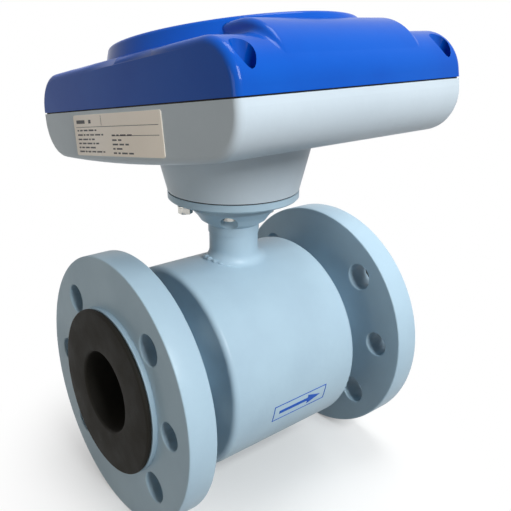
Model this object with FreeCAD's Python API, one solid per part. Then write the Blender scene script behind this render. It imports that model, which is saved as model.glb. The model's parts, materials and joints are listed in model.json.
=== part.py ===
import FreeCAD, Part
import math
import os

from collections import namedtuple
from FreeCAD import Placement, Rotation, Vector

# Electromagnetic flow meter, DN 50, with its signal converter on a short neck.
# Millimetres.  The origin is the middle of the bore: +X is the direction of flow,
# +Z points up through the neck.  The converter is built in a frame of its own
# (u along the pipe, v across it, w out of its lid), whose origin is where the neck
# axis meets the joint between lid and housing, and is then leaned over the pipe.

# ---------------------------------------------------------------- flow tube
FACE_TO_FACE = 200.0
BORE_DIAMETER = 50.0
LINER_WALL = 3.0
TUBE_WALL = 2.0
LINER_LIP_DIAMETER = 102.0
LINER_LIP_THICKNESS = 3.4
LIP_EDGE_RADIUS = 1.2

# ------------------------------------------------------------------ flanges
FLANGE_DIAMETER = 165.0
FLANGE_THICKNESS = 18.0
FLANGE_EDGE_CHAMFER = 1.0
RAISED_FACE_DIAMETER = 102.0
RAISED_FACE_HEIGHT = 3.0
BOLT_CIRCLE_DIAMETER = 125.0
BOLT_HOLE_DIAMETER = 18.0
BOLT_ANGLES = (45.0, 135.0, 225.0, 315.0)
SIDE_HOLE_DIAMETER = 16.0
SIDE_HOLE_ANGLES = (0.0, 180.0)
FLANGE_WELD = 4.0

# ------------------------------------------------------------- coil housing
YOKE_DIAMETER = 116.0
YOKE_CLEARANCE = 4.0
SHELL_WALL = 4.0
COIL_HOUSING_DIAMETER = YOKE_DIAMETER + 2 * (YOKE_CLEARANCE + SHELL_WALL)
COIL_HOUSING_LENGTH = 101.0
END_PLATE_THICKNESS = 7.0
END_PLATE_RIM_RADIUS = 3.5
SEAM_CHAMFER = 0.9

# ---------------------------------------------------------- magnetic circuit
POLE_SHOE_THICKNESS = 3.0
POLE_SHOE_LENGTH = 56.0
POLE_SHOE_WIDTH = 44.0
POLE_SHOE_CORNER = 11.0
POLE_CORE_DIAMETER = 22.0
COIL_DIAMETER = 52.0
COIL_HEIGHT = 13.0
COIL_CLEARANCE = 0.3
COIL_EDGE_RADIUS = 1.5
YOKE_THICKNESS = 3.0
YOKE_LENGTH = 50.0

# --------------------------------------------------------------- electrodes
ELECTRODE_ROD_DIAMETER = 4.0
ELECTRODE_HEAD_DIAMETER = 10.0
ELECTRODE_HEAD_HEIGHT = 1.4
ELECTRODE_REACH = 44.0
INSULATOR_DIAMETER = 12.0
INSULATOR_FLANGE_DIAMETER = 18.0
INSULATOR_LENGTH = 9.0
ELECTRODE_NUT_ACROSS_FLATS = 8.0
ELECTRODE_NUT_HEIGHT = 3.5

# --------------------------------------------------------------------- neck
NECK_DIAMETER = 32.0
NECK_BORE_DIAMETER = 24.0
NECK_FOOT_RADIUS = 7.0
NECK_TOP_HEIGHT = 83.0
COLLAR_BAND_DIAMETER = 33.2
COLLAR_BAND_HEIGHT = 5.5
COLLAR_FLARE_DIAMETER = 43.2
COLLAR_FLARE_RISE = 3.2
COLLAR_WAIST_DIAMETER = 48.4
COLLAR_WAIST_RISE = 7.0
COLLAR_BOWL_DIAMETER = 57.0
COLLAR_RIM_HEIGHT = 6.0
COLLAR_TOP_HEIGHT = 106.0
COLLAR_SCREW_CIRCLE = 44.0
COLLAR_POCKET_DIAMETER = 11.0
COLLAR_POCKET_ROOF = 5.0
RING_DIAMETER = 84.8
RING_THICKNESS = 5.0
RING_EDGE_CHAMFER = 1.0
RING_GASKET_THICKNESS = 0.8
RING_GASKET_INSET = 0.9

# ------------------------------------------------------- converter housing
LEAN = 8.0
LID_JOINT_HEIGHT = 168.7
DOME_DIAMETER = 149.0
DOME_MARGIN = 6.5
HOUSING_LENGTH = DOME_DIAMETER + 2 * DOME_MARGIN
HOUSING_WIDTH = 211.0
HOUSING_SETBACK = 2.0
HOUSING_WALL = 3.0
HOUSING_SIDE = 4.0
HOUSING_CORNER = 24.5
HOUSING_DEPTH = 31.0
END_EDGE_RADIUS = 4.0
SKIRT_SLOPE = 0.25
SKIRT_TOP_BELOW_JOINT = 8.0
SKIRT_WALL = 4.0
SKIRT_FLOOR = 4.0
SKIRT_FILLET = 4.0

# -------------------------------------------------------------------- cover
PAD_FOOT = 4.0
PAD_SIDE = 3.0
PAD_CORNER = 23.5
PAD_HEIGHT = 26.8
PAD_RAKE = 1.4
BAND_NARROWING = 1.1
BAND_SIDE = 1.0
BAND_CORNER = 32.0
BAND_HEIGHT = 34.0
BAND_LENGTH = 102.0
BAND_EDGE_RADIUS = 3.5
BAND_FOOT_FILLET = 4.0
BAND_RAKE = 3.2
DOME_SETBACK = 5.0
DOME_RIM_HEIGHT = 36.0
DOME_CROWN = 5.0
DOME_FLANK_DRAFT = 0.3
DOME_ROOT_DEPTH = 16.0
DOME_EDGE_RADIUS = 2.5
COVER_GASKET_THICKNESS = 0.8
COVER_GASKET_INSET = 1.2
COVER_GASKET_WIDTH = 3.6
COVER_GASKET_CORNER = 2.8

# ------------------------------------------------------------- cover screws
COVER_SCREW_DIAMETER = 5.0
COVER_SCREW_FROM_END = 10.4
COVER_SCREW_FROM_SIDE = 6.8
COVER_SCREW_REACH = 11.0
COVER_SCREW_HEAD_DIAMETER = 9.0
COVER_SCREW_HEAD_HEIGHT = 4.0
POCKET_DIAMETER = 11.4
POCKET_FLOOR = 4.8
SCREW_CLEARANCE = 0.35
SCREW_HOLE_DEPTH = 12.5
SCREW_BOSS_DIAMETER = 11.0
SCREW_BOSS_DEPTH = 15.0
SCREW_HEAD_EDGE_RADIUS = 0.6

# ------------------------------------------------------ other screws, seats
NECK_SCREW_DIAMETER = 5.0
NECK_SCREW_HEAD_DIAMETER = 8.5
NECK_SCREW_HEAD_HEIGHT = 5.0
HEX_SOCKET = 4.0
EARTH_SCREW_CIRCLE = 75.0
EARTH_SCREW_DIAMETER = 5.0
EARTH_SCREW_ACROSS_FLATS = 8.0
EARTH_SCREW_HEAD_HEIGHT = 3.8
EARTH_WASHER_DIAMETER = 9.5
EARTH_WASHER_THICKNESS = 1.0
THREAD_CLEARANCE = 0.1

# -------------------------------------------------------------- electronics
BOARD_LENGTH = 118.0
BOARD_WIDTH = 120.0
BOARD_THICKNESS = 1.6
BOARD_CORNER = 3.0
BOARD_LEVEL = -14.0
BOARD_POST_DIAMETER = 8.0
BOARD_POST_INSET = 7.0
BOARD_SCREW_DIAMETER = 6.0
BOARD_SCREW_HEIGHT = 2.0
MODULE_LENGTH = 46.0
MODULE_WIDTH = 34.0
MODULE_HEIGHT = 16.0
MODULE_CORNER = 2.0
TERMINAL_LENGTH = 84.0
TERMINAL_WIDTH = 15.0
TERMINAL_HEIGHT = 13.0
TERMINAL_CORNER = 1.0
TERMINAL_POLES = 12
TERMINAL_MOUTH_LEVEL = 2.0
TERMINAL_MOUTH_HEIGHT = 4.4
TERMINAL_MOUTH_DEPTH = 5.0
TERMINAL_WELL_DEPTH = 3.2
TERMINAL_WELL_SETBACK = 2.5

# ------------------------------------------------------------- cable glands
GLAND_SPACING = 56.0
GLAND_LEVEL = -14.0
GLAND_THREAD_DIAMETER = 20.0
GLAND_THREAD_LENGTH = 10.0
GLAND_ACROSS_FLATS = 24.0
GLAND_HEX_LENGTH = 6.0
GLAND_CAP_DIAMETER = 23.0
GLAND_CAP_LENGTH = 14.0
GLAND_CAP_EDGE_RADIUS = 4.7
GLAND_MOUTH_DIAMETER = 13.0
GLAND_PLUG_LENGTH = 8.0
GLAND_PLUG_RECESS = 1.0
GLAND_BOSS_DIAMETER = 27.0
GLAND_BOSS_LENGTH = 14.0
GLAND_BOSS_PROUD = 2.0

# ------------------------------------------------------------- rating plate
PLATE_LENGTH = 102.0
PLATE_HEIGHT = 24.2
PLATE_THICKNESS = 0.6
PLATE_BELOW_JOINT = 2.2
PLATE_OFFSET = 7.0
PLATE_CORNER = 1.5

# ------------------------------------------------- sizes that follow these
HALF_LENGTH = FACE_TO_FACE / 2
FLANGE_FACE = HALF_LENGTH - LINER_LIP_THICKNESS - RAISED_FACE_HEIGHT
FLANGE_BACK = FLANGE_FACE - FLANGE_THICKNESS
LINER_RADIUS = BORE_DIAMETER / 2 + LINER_WALL
TUBE_RADIUS = LINER_RADIUS + TUBE_WALL
SHELL_RADIUS = COIL_HOUSING_DIAMETER / 2
SHELL_BORE = SHELL_RADIUS - SHELL_WALL
HOUSING_HALF = COIL_HOUSING_LENGTH / 2
PLATE_INNER = HOUSING_HALF - END_PLATE_THICKNESS
YOKE_RADIUS = YOKE_DIAMETER / 2
RING_BOTTOM = COLLAR_TOP_HEIGHT
RING_TOP = RING_BOTTOM + RING_THICKNESS
SKIRT_BOTTOM = RING_TOP + RING_GASKET_THICKNESS
HALF_WIDTH = HOUSING_WIDTH / 2
SCREW_U = HOUSING_LENGTH / 2 - COVER_SCREW_FROM_END
SCREW_V = HALF_WIDTH - COVER_SCREW_FROM_SIDE
GLAND_FACE = HALF_WIDTH + GLAND_BOSS_PROUD

# Cutting tools run on past what they cut: by BIG through everything, by
# MARGIN where they must stop.  Points closer than TOUCH count as touching.
BIG = 400.0
MARGIN = 1.0
TOUCH = 1e-4

# The converter's casings are halves of long barrels that lie along u.  A side
# wall stands straight up from the joint, then come a corner arc and a shallow
# crown.  The foot is how far the wall also runs past the joint, where the form
# is raked and then cut off level.
Barrel = namedtuple("Barrel", "half_width foot side corner height length")
HULL = Barrel(HALF_WIDTH, 0.0, HOUSING_SIDE, HOUSING_CORNER, HOUSING_DEPTH, HOUSING_LENGTH)
PADS = Barrel(HALF_WIDTH, PAD_FOOT, PAD_SIDE, PAD_CORNER, PAD_HEIGHT, HOUSING_LENGTH)
BAND = Barrel(
    HALF_WIDTH - BAND_NARROWING, 0.0, BAND_SIDE, BAND_CORNER, BAND_HEIGHT, BAND_LENGTH
)


# ------------------------------------------------------------ small helpers
def ring_x(outer, inner, start, end):
    """Return a ring about the X axis between two stations."""
    length = end - start
    base = Vector(start, 0, 0)
    axis = Vector(1, 0, 0)
    body = Part.makeCylinder(outer, length, base, axis)
    return body.cut(Part.makeCylinder(inner, length, base, axis))


def rod(radius, start, end):
    """Return a cylinder between two points."""
    axis = end.sub(start)
    return Part.makeCylinder(radius, axis.Length, start, axis)


def hexagon(across_flats, height, base, axis, turn=0.0):
    """Return a hexagonal prism that stands on a point along an axis."""
    reach = across_flats / math.sqrt(3)
    corners = []
    for step in range(7):
        angle = math.radians(60 * step + turn)
        corners.append(Vector(reach * math.cos(angle), reach * math.sin(angle), 0))
    prism = Part.Face(Part.makePolygon(corners)).extrude(Vector(0, 0, height))
    prism.Placement = Placement(base, Rotation(Vector(0, 0, 1), axis))
    return prism


def revolved(profile):
    """Return the solid that a list of (radius, height) corners sweeps about Z."""
    points = [Vector(radius, 0, height) for radius, height in profile]
    face = Part.Face(Part.makePolygon(points + points[:1]))
    return face.revolve(Vector(0, 0, 0), Vector(0, 0, 1), 360)


def rounded_box(size, centre, corner):
    """Return a box with rounded upright edges; centre is the middle of its base."""
    length, width, height = size
    base = centre.sub(Vector(length / 2, width / 2, 0))
    box = Part.makeBox(length, width, height, base)
    upright = [edge for edge in box.Edges if edge.BoundBox.ZLength > height / 2]
    return box.makeFillet(corner, upright)


def meeting_edges(union, first, second):
    """Return the edges of a union that run where the skins of its two parts meet."""
    found = []
    for edge in union.Edges:
        middle = Part.Vertex(edge.valueAt((edge.FirstParameter + edge.LastParameter) / 2))
        gaps = [middle.distToShape(part.Shells[0])[0] for part in (first, second)]
        if max(gaps) < TOUCH:
            found.append(edge)
    return found


def mirrored_x(shape):
    """Return the copy of a shape on the other side of the middle of the pipe."""
    return shape.mirror(Vector(0, 0, 0), Vector(1, 0, 0))


def at_angle(radius, degrees, height=0.0):
    """Return the point at a radius and angle about the Z axis."""
    angle = math.radians(degrees)
    return Vector(radius * math.cos(angle), radius * math.sin(angle), height)


def lean(shape):
    """Return a converter piece moved from its own frame into the part's frame."""
    leaned = shape.copy()
    turn = Rotation(Vector(1, 0, 0), -LEAN)
    place = Placement(Vector(0, 0, LID_JOINT_HEIGHT), turn)
    leaned.Placement = place.multiply(leaned.Placement)
    return leaned


# --------------------------------------------------------------- flow tube
def make_liner():
    """Return the liner: a sleeve with a lip turned out over each raised face."""
    start = -HALF_LENGTH
    sleeve = ring_x(LINER_RADIUS, BORE_DIAMETER / 2, start, HALF_LENGTH)
    lip = ring_x(LINER_LIP_DIAMETER / 2, BORE_DIAMETER / 2, start, start + LINER_LIP_THICKNESS)
    rim = [
        edge for edge in lip.Edges
        if abs(edge.BoundBox.XMin - start) < TOUCH
        and edge.BoundBox.XLength < TOUCH
        and edge.BoundBox.YLength > BORE_DIAMETER + MARGIN
    ]
    lip = lip.makeFillet(LIP_EDGE_RADIUS, rim)
    liner = sleeve.fuse([lip, mirrored_x(lip)]).removeSplitter()
    for side in (-1, 1):
        shank, head = electrode_volume(side)
        liner = liner.cut([shank, head])
    return liner


def make_measuring_tube():
    """Return the steel tube that the liner is moulded into."""
    end = FLANGE_FACE + RAISED_FACE_HEIGHT
    tube = ring_x(TUBE_RADIUS, LINER_RADIUS, -end, end)
    for side in (-1, 1):
        tube = tube.cut(insulator_plug(side))
    return tube


def make_inlet_flange():
    """Return the inlet flange with its raised face, bolt holes and weld."""
    axis = Vector(1, 0, 0)
    start = -FLANGE_FACE
    plate = Part.makeCylinder(FLANGE_DIAMETER / 2, FLANGE_THICKNESS, Vector(start, 0, 0), axis)
    rims = [edge for edge in plate.Edges if edge.BoundBox.XLength < TOUCH]
    plate = plate.makeChamfer(FLANGE_EDGE_CHAMFER, rims)
    raised_start = Vector(start - RAISED_FACE_HEIGHT, 0, 0)
    raised = Part.makeCylinder(RAISED_FACE_DIAMETER / 2, RAISED_FACE_HEIGHT, raised_start, axis)
    weld = Part.makeCone(
        TUBE_RADIUS + FLANGE_WELD, TUBE_RADIUS, FLANGE_WELD, Vector(-FLANGE_BACK, 0, 0), axis
    )
    flange = plate.fuse([raised, weld]).removeSplitter()
    tools = [Part.makeCylinder(TUBE_RADIUS, BIG, Vector(-BIG / 2, 0, 0), axis)]
    tools += flange_holes(BOLT_ANGLES, BOLT_HOLE_DIAMETER)
    tools += flange_holes(SIDE_HOLE_ANGLES, SIDE_HOLE_DIAMETER)
    return flange.cut(tools)


def flange_holes(angles, diameter):
    """Return one cylinder for each hole of a flange, at angles from +Y to +Z."""
    holes = []
    for degrees in angles:
        angle = math.radians(degrees)
        reach = BOLT_CIRCLE_DIAMETER / 2
        base = Vector(-BIG / 2, reach * math.cos(angle), reach * math.sin(angle))
        holes.append(Part.makeCylinder(diameter / 2, BIG, base, Vector(1, 0, 0)))
    return holes


# ------------------------------------------------------------ coil housing
def make_shell():
    """Return the round shell over the coils, with a hole under the neck."""
    shell = ring_x(SHELL_RADIUS, SHELL_BORE, -PLATE_INNER, PLATE_INNER)
    seams = [
        edge for edge in shell.Edges
        if edge.BoundBox.XLength < TOUCH and edge.BoundBox.YLength > 2 * SHELL_RADIUS - MARGIN
    ]
    shell = shell.makeChamfer(SEAM_CHAMFER, seams)
    return shell.cut(rod(NECK_BORE_DIAMETER / 2, Vector(0, 0, 0), Vector(0, 0, BIG)))


def make_inlet_end_plate():
    """Return the plate that closes the coil housing, rolled over at its rim."""
    axis = Vector(1, 0, 0)
    base = Vector(-HOUSING_HALF, 0, 0)
    plate = Part.makeCylinder(SHELL_RADIUS, END_PLATE_THICKNESS, base, axis)
    outer = [edge for edge in plate.Edges if abs(edge.BoundBox.XMax + HOUSING_HALF) < TOUCH]
    plate = plate.makeFillet(END_PLATE_RIM_RADIUS, outer)
    return plate.cut(Part.makeCylinder(TUBE_RADIUS, BIG, Vector(-BIG / 2, 0, 0), axis))


# -------------------------------------------------------- magnetic circuit
def make_upper_pole():
    """Return the upper pole shoe and core, which reach from tube to yoke."""
    inner = TUBE_RADIUS
    outer = TUBE_RADIUS + POLE_SHOE_THICKNESS
    half = POLE_SHOE_LENGTH / 2
    shoe = ring_x(outer, inner, -half, half)
    window = rounded_box(
        (POLE_SHOE_LENGTH, POLE_SHOE_WIDTH, outer), Vector(0, 0, 0), POLE_SHOE_CORNER
    )
    core = rod(POLE_CORE_DIAMETER / 2, Vector(0, 0, inner), Vector(0, 0, YOKE_RADIUS))
    yoke_bore = YOKE_RADIUS - YOKE_THICKNESS
    core = core.common(ring_x(yoke_bore, inner, -half, half))
    return shoe.common(window).fuse(core).removeSplitter()


def make_upper_coil():
    """Return the upper coil, wound round the pole core."""
    base = Vector(0, 0, TUBE_RADIUS + POLE_SHOE_THICKNESS)
    top = base.add(Vector(0, 0, COIL_HEIGHT))
    coil = rod(COIL_DIAMETER / 2, base, top)
    rims = [edge for edge in coil.Edges if edge.BoundBox.ZLength < TOUCH]
    coil = coil.makeFillet(COIL_EDGE_RADIUS, rims)
    return coil.cut(rod(POLE_CORE_DIAMETER / 2 + COIL_CLEARANCE, base, top))


def make_return_yoke():
    """Return the steel band that carries the field from pole to pole."""
    half = YOKE_LENGTH / 2
    return ring_x(YOKE_RADIUS, YOKE_RADIUS - YOKE_THICKNESS, -half, half)


# -------------------------------------------------------------- electrodes
def electrode_volume(side):
    """Return the electrode's rod and its head, which lies in the bore wall."""
    start = Vector(0, side * (BORE_DIAMETER / 2 - ELECTRODE_HEAD_HEIGHT), 0)
    neck = Vector(0, side * (BORE_DIAMETER / 2 + ELECTRODE_HEAD_HEIGHT), 0)
    end = Vector(0, side * ELECTRODE_REACH, 0)
    return rod(ELECTRODE_ROD_DIAMETER / 2, neck, end), rod(ELECTRODE_HEAD_DIAMETER / 2, start, neck)


def make_electrode(side):
    """Return one electrode with its nut; side is +1 for +Y and -1 for -Y."""
    shank, head = electrode_volume(side)
    bore = Part.makeCylinder(BORE_DIAMETER / 2, BIG, Vector(-BIG / 2, 0, 0), Vector(1, 0, 0))
    seat = Vector(0, side * (TUBE_RADIUS + INSULATOR_LENGTH), 0)
    nut = hexagon(ELECTRODE_NUT_ACROSS_FLATS, ELECTRODE_NUT_HEIGHT, seat, Vector(0, side, 0))
    return shank.fuse([head.cut(bore), nut])


def insulator_plug(side):
    """Return the part of the insulator that fills the hole in the tube."""
    start = Vector(0, side * (LINER_RADIUS - MARGIN), 0)
    end = Vector(0, side * (TUBE_RADIUS + MARGIN), 0)
    return rod(INSULATOR_DIAMETER / 2, start, end)


def make_insulator(side):
    """Return the bush that keeps an electrode clear of the steel tube."""
    axis = Vector(1, 0, 0)
    liner = Part.makeCylinder(LINER_RADIUS, BIG, Vector(-BIG / 2, 0, 0), axis)
    tube = Part.makeCylinder(TUBE_RADIUS, BIG, Vector(-BIG / 2, 0, 0), axis)
    end = Vector(0, side * (TUBE_RADIUS + INSULATOR_LENGTH), 0)
    inner = rod(INSULATOR_DIAMETER / 2, Vector(0, 0, 0), end).cut(liner)
    outer = rod(INSULATOR_FLANGE_DIAMETER / 2, Vector(0, 0, 0), end).cut(tube)
    bush = inner.fuse(outer).removeSplitter()
    return bush.cut(rod(ELECTRODE_ROD_DIAMETER / 2, Vector(0, 0, 0), end))


# -------------------------------------------------------------------- neck
def make_neck():
    """Return the neck tube with the weld that spreads its foot over the shell."""
    shell = Part.makeCylinder(
        SHELL_RADIUS, COIL_HOUSING_LENGTH, Vector(-HOUSING_HALF, 0, 0), Vector(1, 0, 0)
    )
    tube = rod(NECK_DIAMETER / 2, Vector(0, 0, 0), Vector(0, 0, NECK_TOP_HEIGHT))
    joined = tube.fuse(shell)
    joined = joined.makeFillet(NECK_FOOT_RADIUS, meeting_edges(joined, tube, shell))
    neck = joined.cut(shell)
    return neck.cut(rod(NECK_BORE_DIAMETER / 2, Vector(0, 0, 0), Vector(0, 0, BIG)))


def make_collar():
    """Return the collar: a band on the neck that opens into a pocketed bowl."""
    inner = NECK_BORE_DIAMETER / 2
    band = COLLAR_BAND_DIAMETER / 2
    bowl = COLLAR_BOWL_DIAMETER / 2
    band_top = NECK_TOP_HEIGHT + COLLAR_BAND_HEIGHT
    collar = revolved([
        (inner, NECK_TOP_HEIGHT),
        (band, NECK_TOP_HEIGHT),
        (band, band_top),
        (COLLAR_FLARE_DIAMETER / 2, band_top + COLLAR_FLARE_RISE),
        (COLLAR_WAIST_DIAMETER / 2, band_top + COLLAR_WAIST_RISE),
        (bowl, COLLAR_TOP_HEIGHT - COLLAR_RIM_HEIGHT),
        (bowl, COLLAR_TOP_HEIGHT),
        (inner, COLLAR_TOP_HEIGHT),
    ])
    tools = []
    for degrees in BOLT_ANGLES:
        low = at_angle(COLLAR_SCREW_CIRCLE / 2, degrees, band_top)
        roof = at_angle(COLLAR_SCREW_CIRCLE / 2, degrees, COLLAR_TOP_HEIGHT - COLLAR_POCKET_ROOF)
        high = at_angle(COLLAR_SCREW_CIRCLE / 2, degrees, BIG)
        tools.append(rod(COLLAR_POCKET_DIAMETER / 2, low, roof))
        tools.append(rod(NECK_SCREW_DIAMETER / 2 + SCREW_CLEARANCE, roof, high))
    return collar.cut(tools)


def make_neck_screw(degrees):
    """Return one of the screws that pull the base ring down on the collar."""
    roof = COLLAR_TOP_HEIGHT - COLLAR_POCKET_ROOF
    seat = at_angle(COLLAR_SCREW_CIRCLE / 2, degrees, roof)
    bottom = at_angle(COLLAR_SCREW_CIRCLE / 2, degrees, roof - NECK_SCREW_HEAD_HEIGHT)
    tip = at_angle(COLLAR_SCREW_CIRCLE / 2, degrees, RING_TOP)
    head = rod(NECK_SCREW_HEAD_DIAMETER / 2, bottom, seat)
    rims = [edge for edge in head.Edges if abs(edge.BoundBox.ZMax - bottom.z) < TOUCH]
    head = head.makeFillet(SCREW_HEAD_EDGE_RADIUS, rims)
    socket = hexagon(HEX_SOCKET, NECK_SCREW_HEAD_HEIGHT / 2, bottom, Vector(0, 0, 1), degrees)
    return head.fuse(rod(NECK_SCREW_DIAMETER / 2, seat, tip)).removeSplitter().cut(socket)


def make_base_ring():
    """Return the ring on top of the neck that the converter stands on."""
    outer = RING_DIAMETER / 2
    ring = revolved([
        (NECK_BORE_DIAMETER / 2, RING_BOTTOM),
        (outer - RING_EDGE_CHAMFER, RING_BOTTOM),
        (outer, RING_BOTTOM + RING_EDGE_CHAMFER),
        (outer, RING_TOP),
        (NECK_BORE_DIAMETER / 2, RING_TOP),
    ])
    tools = []
    for degrees in BOLT_ANGLES:
        low = at_angle(COLLAR_SCREW_CIRCLE / 2, degrees, RING_BOTTOM)
        high = at_angle(COLLAR_SCREW_CIRCLE / 2, degrees, RING_TOP)
        tools.append(rod(NECK_SCREW_DIAMETER / 2 + THREAD_CLEARANCE, low, high))
    low = Vector(-EARTH_SCREW_CIRCLE / 2, 0, RING_BOTTOM)
    high = Vector(-EARTH_SCREW_CIRCLE / 2, 0, RING_TOP)
    tools.append(rod(EARTH_SCREW_DIAMETER / 2 + THREAD_CLEARANCE, low, high))
    return ring.cut(tools)


def make_ring_gasket():
    """Return the thin gasket between the base ring and the converter."""
    outer = RING_DIAMETER / 2 - RING_GASKET_INSET
    inner = COLLAR_SCREW_CIRCLE / 2 + NECK_SCREW_HEAD_DIAMETER / 2
    return revolved([
        (inner, RING_TOP), (outer, RING_TOP), (outer, SKIRT_BOTTOM), (inner, SKIRT_BOTTOM),
    ])


def make_earth_screw():
    """Return the hexagon screw under the base ring that takes the earth lead."""
    down = Vector(0, 0, -1)
    top = Vector(-EARTH_SCREW_CIRCLE / 2, 0, RING_BOTTOM)
    under = top.add(Vector(0, 0, -EARTH_WASHER_THICKNESS))
    washer = rod(EARTH_WASHER_DIAMETER / 2, under, top)
    head = hexagon(EARTH_SCREW_ACROSS_FLATS, EARTH_SCREW_HEAD_HEIGHT, under, down)
    shank = rod(EARTH_SCREW_DIAMETER / 2, under, top.add(Vector(0, 0, RING_THICKNESS)))
    return washer.fuse([head, shank]).removeSplitter()


# ------------------------------------------------------- converter housing
def half_barrel(form, way, inset=0.0):
    """Return the upper (way 1) or lower (way -1) half of a barrel along u.

    The crown is tangent to the corner arcs; inset shrinks the whole form
    evenly, for the hollow inside.
    """
    reach = form.half_width - form.corner
    gap = form.height - form.corner - form.side
    crown_drop = (reach ** 2 - gap ** 2) / (2 * gap)
    meet = math.atan2(crown_drop, reach)
    radius = form.corner - inset

    def on_corner(side, angle):
        along = side * (reach + radius * math.cos(angle))
        up = form.side + radius * math.sin(angle)
        return Vector(0, along - HOUSING_SETBACK, way * up)

    right = [on_corner(1, meet * share) for share in (0, 0.5, 1)]
    left = [on_corner(-1, meet * share) for share in (1, 0.5, 0)]
    crown = Vector(0, -HOUSING_SETBACK, way * (form.height - inset))
    edges = [
        Part.Arc(*right).toShape(),
        Part.Arc(right[2], crown, left[0]).toShape(),
        Part.Arc(*left).toShape(),
    ]
    low = -way * form.foot
    base = [left[2], Vector(0, left[2].y, low), Vector(0, right[0].y, low), right[0]]
    edges += Part.makePolygon(base).Edges
    face = Part.Face(Part.Wire(edges))
    span = form.length - 2 * inset
    face.translate(Vector(-span / 2, 0, 0))
    return face.extrude(Vector(span, 0, 0))


def end_edges(solid):
    """Return the edges round both end faces of a half barrel, all but the joint's."""
    ends = (solid.BoundBox.XMin, solid.BoundBox.XMax)
    return [
        edge for edge in solid.Edges
        if edge.BoundBox.XLength < TOUCH
        and edge.BoundBox.ZLength > TOUCH
        and min(abs(edge.BoundBox.XMin - end) for end in ends) < TOUCH
    ]


def rounded_barrel(form, way, radius):
    """Return a half barrel with its end edges rounded."""
    barrel = half_barrel(form, way)
    return barrel.makeFillet(radius, end_edges(barrel))


def screw_spots():
    """Return the (u, v) places of the four cover screws."""
    return [
        (side_u * SCREW_U, side_v * SCREW_V - HOUSING_SETBACK)
        for side_u in (-1, 1) for side_v in (-1, 1)
    ]


def skirt_cone(inset, bottom):
    """Return the cone of the skirt, from a height up into the housing."""
    top = LID_JOINT_HEIGHT - SKIRT_TOP_BELOW_JOINT
    foot = RING_DIAMETER / 2 + SKIRT_SLOPE * (bottom - SKIRT_BOTTOM) - inset
    head = RING_DIAMETER / 2 + SKIRT_SLOPE * (top - SKIRT_BOTTOM) - inset
    return Part.makeCone(foot, head, top - bottom, Vector(0, 0, bottom))


def board_spots():
    """Return the (u, v) places of the posts under the circuit board."""
    reach_u = BOARD_LENGTH / 2 - BOARD_POST_INSET
    reach_v = BOARD_WIDTH / 2 - BOARD_POST_INSET
    return [(u * reach_u, v * reach_v - HOUSING_SETBACK) for u in (-1, 1) for v in (-1, 1)]


def upright(radius, spot, low, high):
    """Return a cylinder along w at a (u, v) spot of the converter."""
    return rod(radius, Vector(spot[0], spot[1], low), Vector(spot[0], spot[1], high))


def gland_point(side, out):
    """Return a point on a gland's axis, a distance out from its seat."""
    return Vector(side * GLAND_SPACING / 2, GLAND_FACE + out, GLAND_LEVEL)


def housing_bosses():
    """Return the posts and bosses cast on the lower housing, in its own frame."""
    outer = half_barrel(HULL, -1)
    posts = [
        upright(SCREW_BOSS_DIAMETER / 2, spot, -SCREW_BOSS_DEPTH, 0).common(outer)
        for spot in screw_spots()
    ]
    under_board = BOARD_LEVEL - BOARD_THICKNESS
    posts += [
        upright(BOARD_POST_DIAMETER / 2, spot, -HOUSING_DEPTH, under_board).common(outer)
        for spot in board_spots()
    ]
    for side in (-1, 1):
        start = gland_point(side, -GLAND_BOSS_LENGTH)
        posts.append(rod(GLAND_BOSS_DIAMETER / 2, start, gland_point(side, 0)))
    return posts


def housing_holes():
    """Return what is drilled out of the lower housing, in its own frame."""
    holes = [
        upright(COVER_SCREW_DIAMETER / 2 + SCREW_CLEARANCE, spot, -SCREW_HOLE_DEPTH, 0)
        for spot in screw_spots()
    ]
    for side in (-1, 1):
        start = gland_point(side, -GLAND_BOSS_LENGTH - MARGIN)
        holes.append(
            rod(GLAND_THREAD_DIAMETER / 2 + THREAD_CLEARANCE, start, gland_point(side, 0))
        )
    return holes


def make_lower_housing():
    """Return the cast lower housing: barrel, skirt, bosses and board posts."""
    hull = lean(rounded_barrel(HULL, -1, END_EDGE_RADIUS))
    skirt = skirt_cone(0, SKIRT_BOTTOM)
    casting = hull.fuse(skirt).removeSplitter()
    casting = casting.makeFillet(SKIRT_FILLET, meeting_edges(casting, hull, skirt))
    hollow = lean(half_barrel(HULL, -1, HOUSING_WALL))
    pit = skirt_cone(SKIRT_WALL, SKIRT_BOTTOM + SKIRT_FLOOR)
    duct = rod(NECK_BORE_DIAMETER / 2, Vector(0, 0, SKIRT_BOTTOM), Vector(0, 0, LID_JOINT_HEIGHT))
    casting = casting.cut([hollow, pit, duct])
    casting = casting.fuse([lean(boss) for boss in housing_bosses()])
    return casting.cut([lean(hole) for hole in housing_holes()]).removeSplitter()


# -------------------------------------------------------------------- cover
def raked(shape, degrees):
    """Return a form of the cover, turned so that its front stands above its back."""
    turned = shape.copy()
    turned.rotate(Vector(0, 0, 0), Vector(1, 0, 0), -degrees)
    return turned


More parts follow.
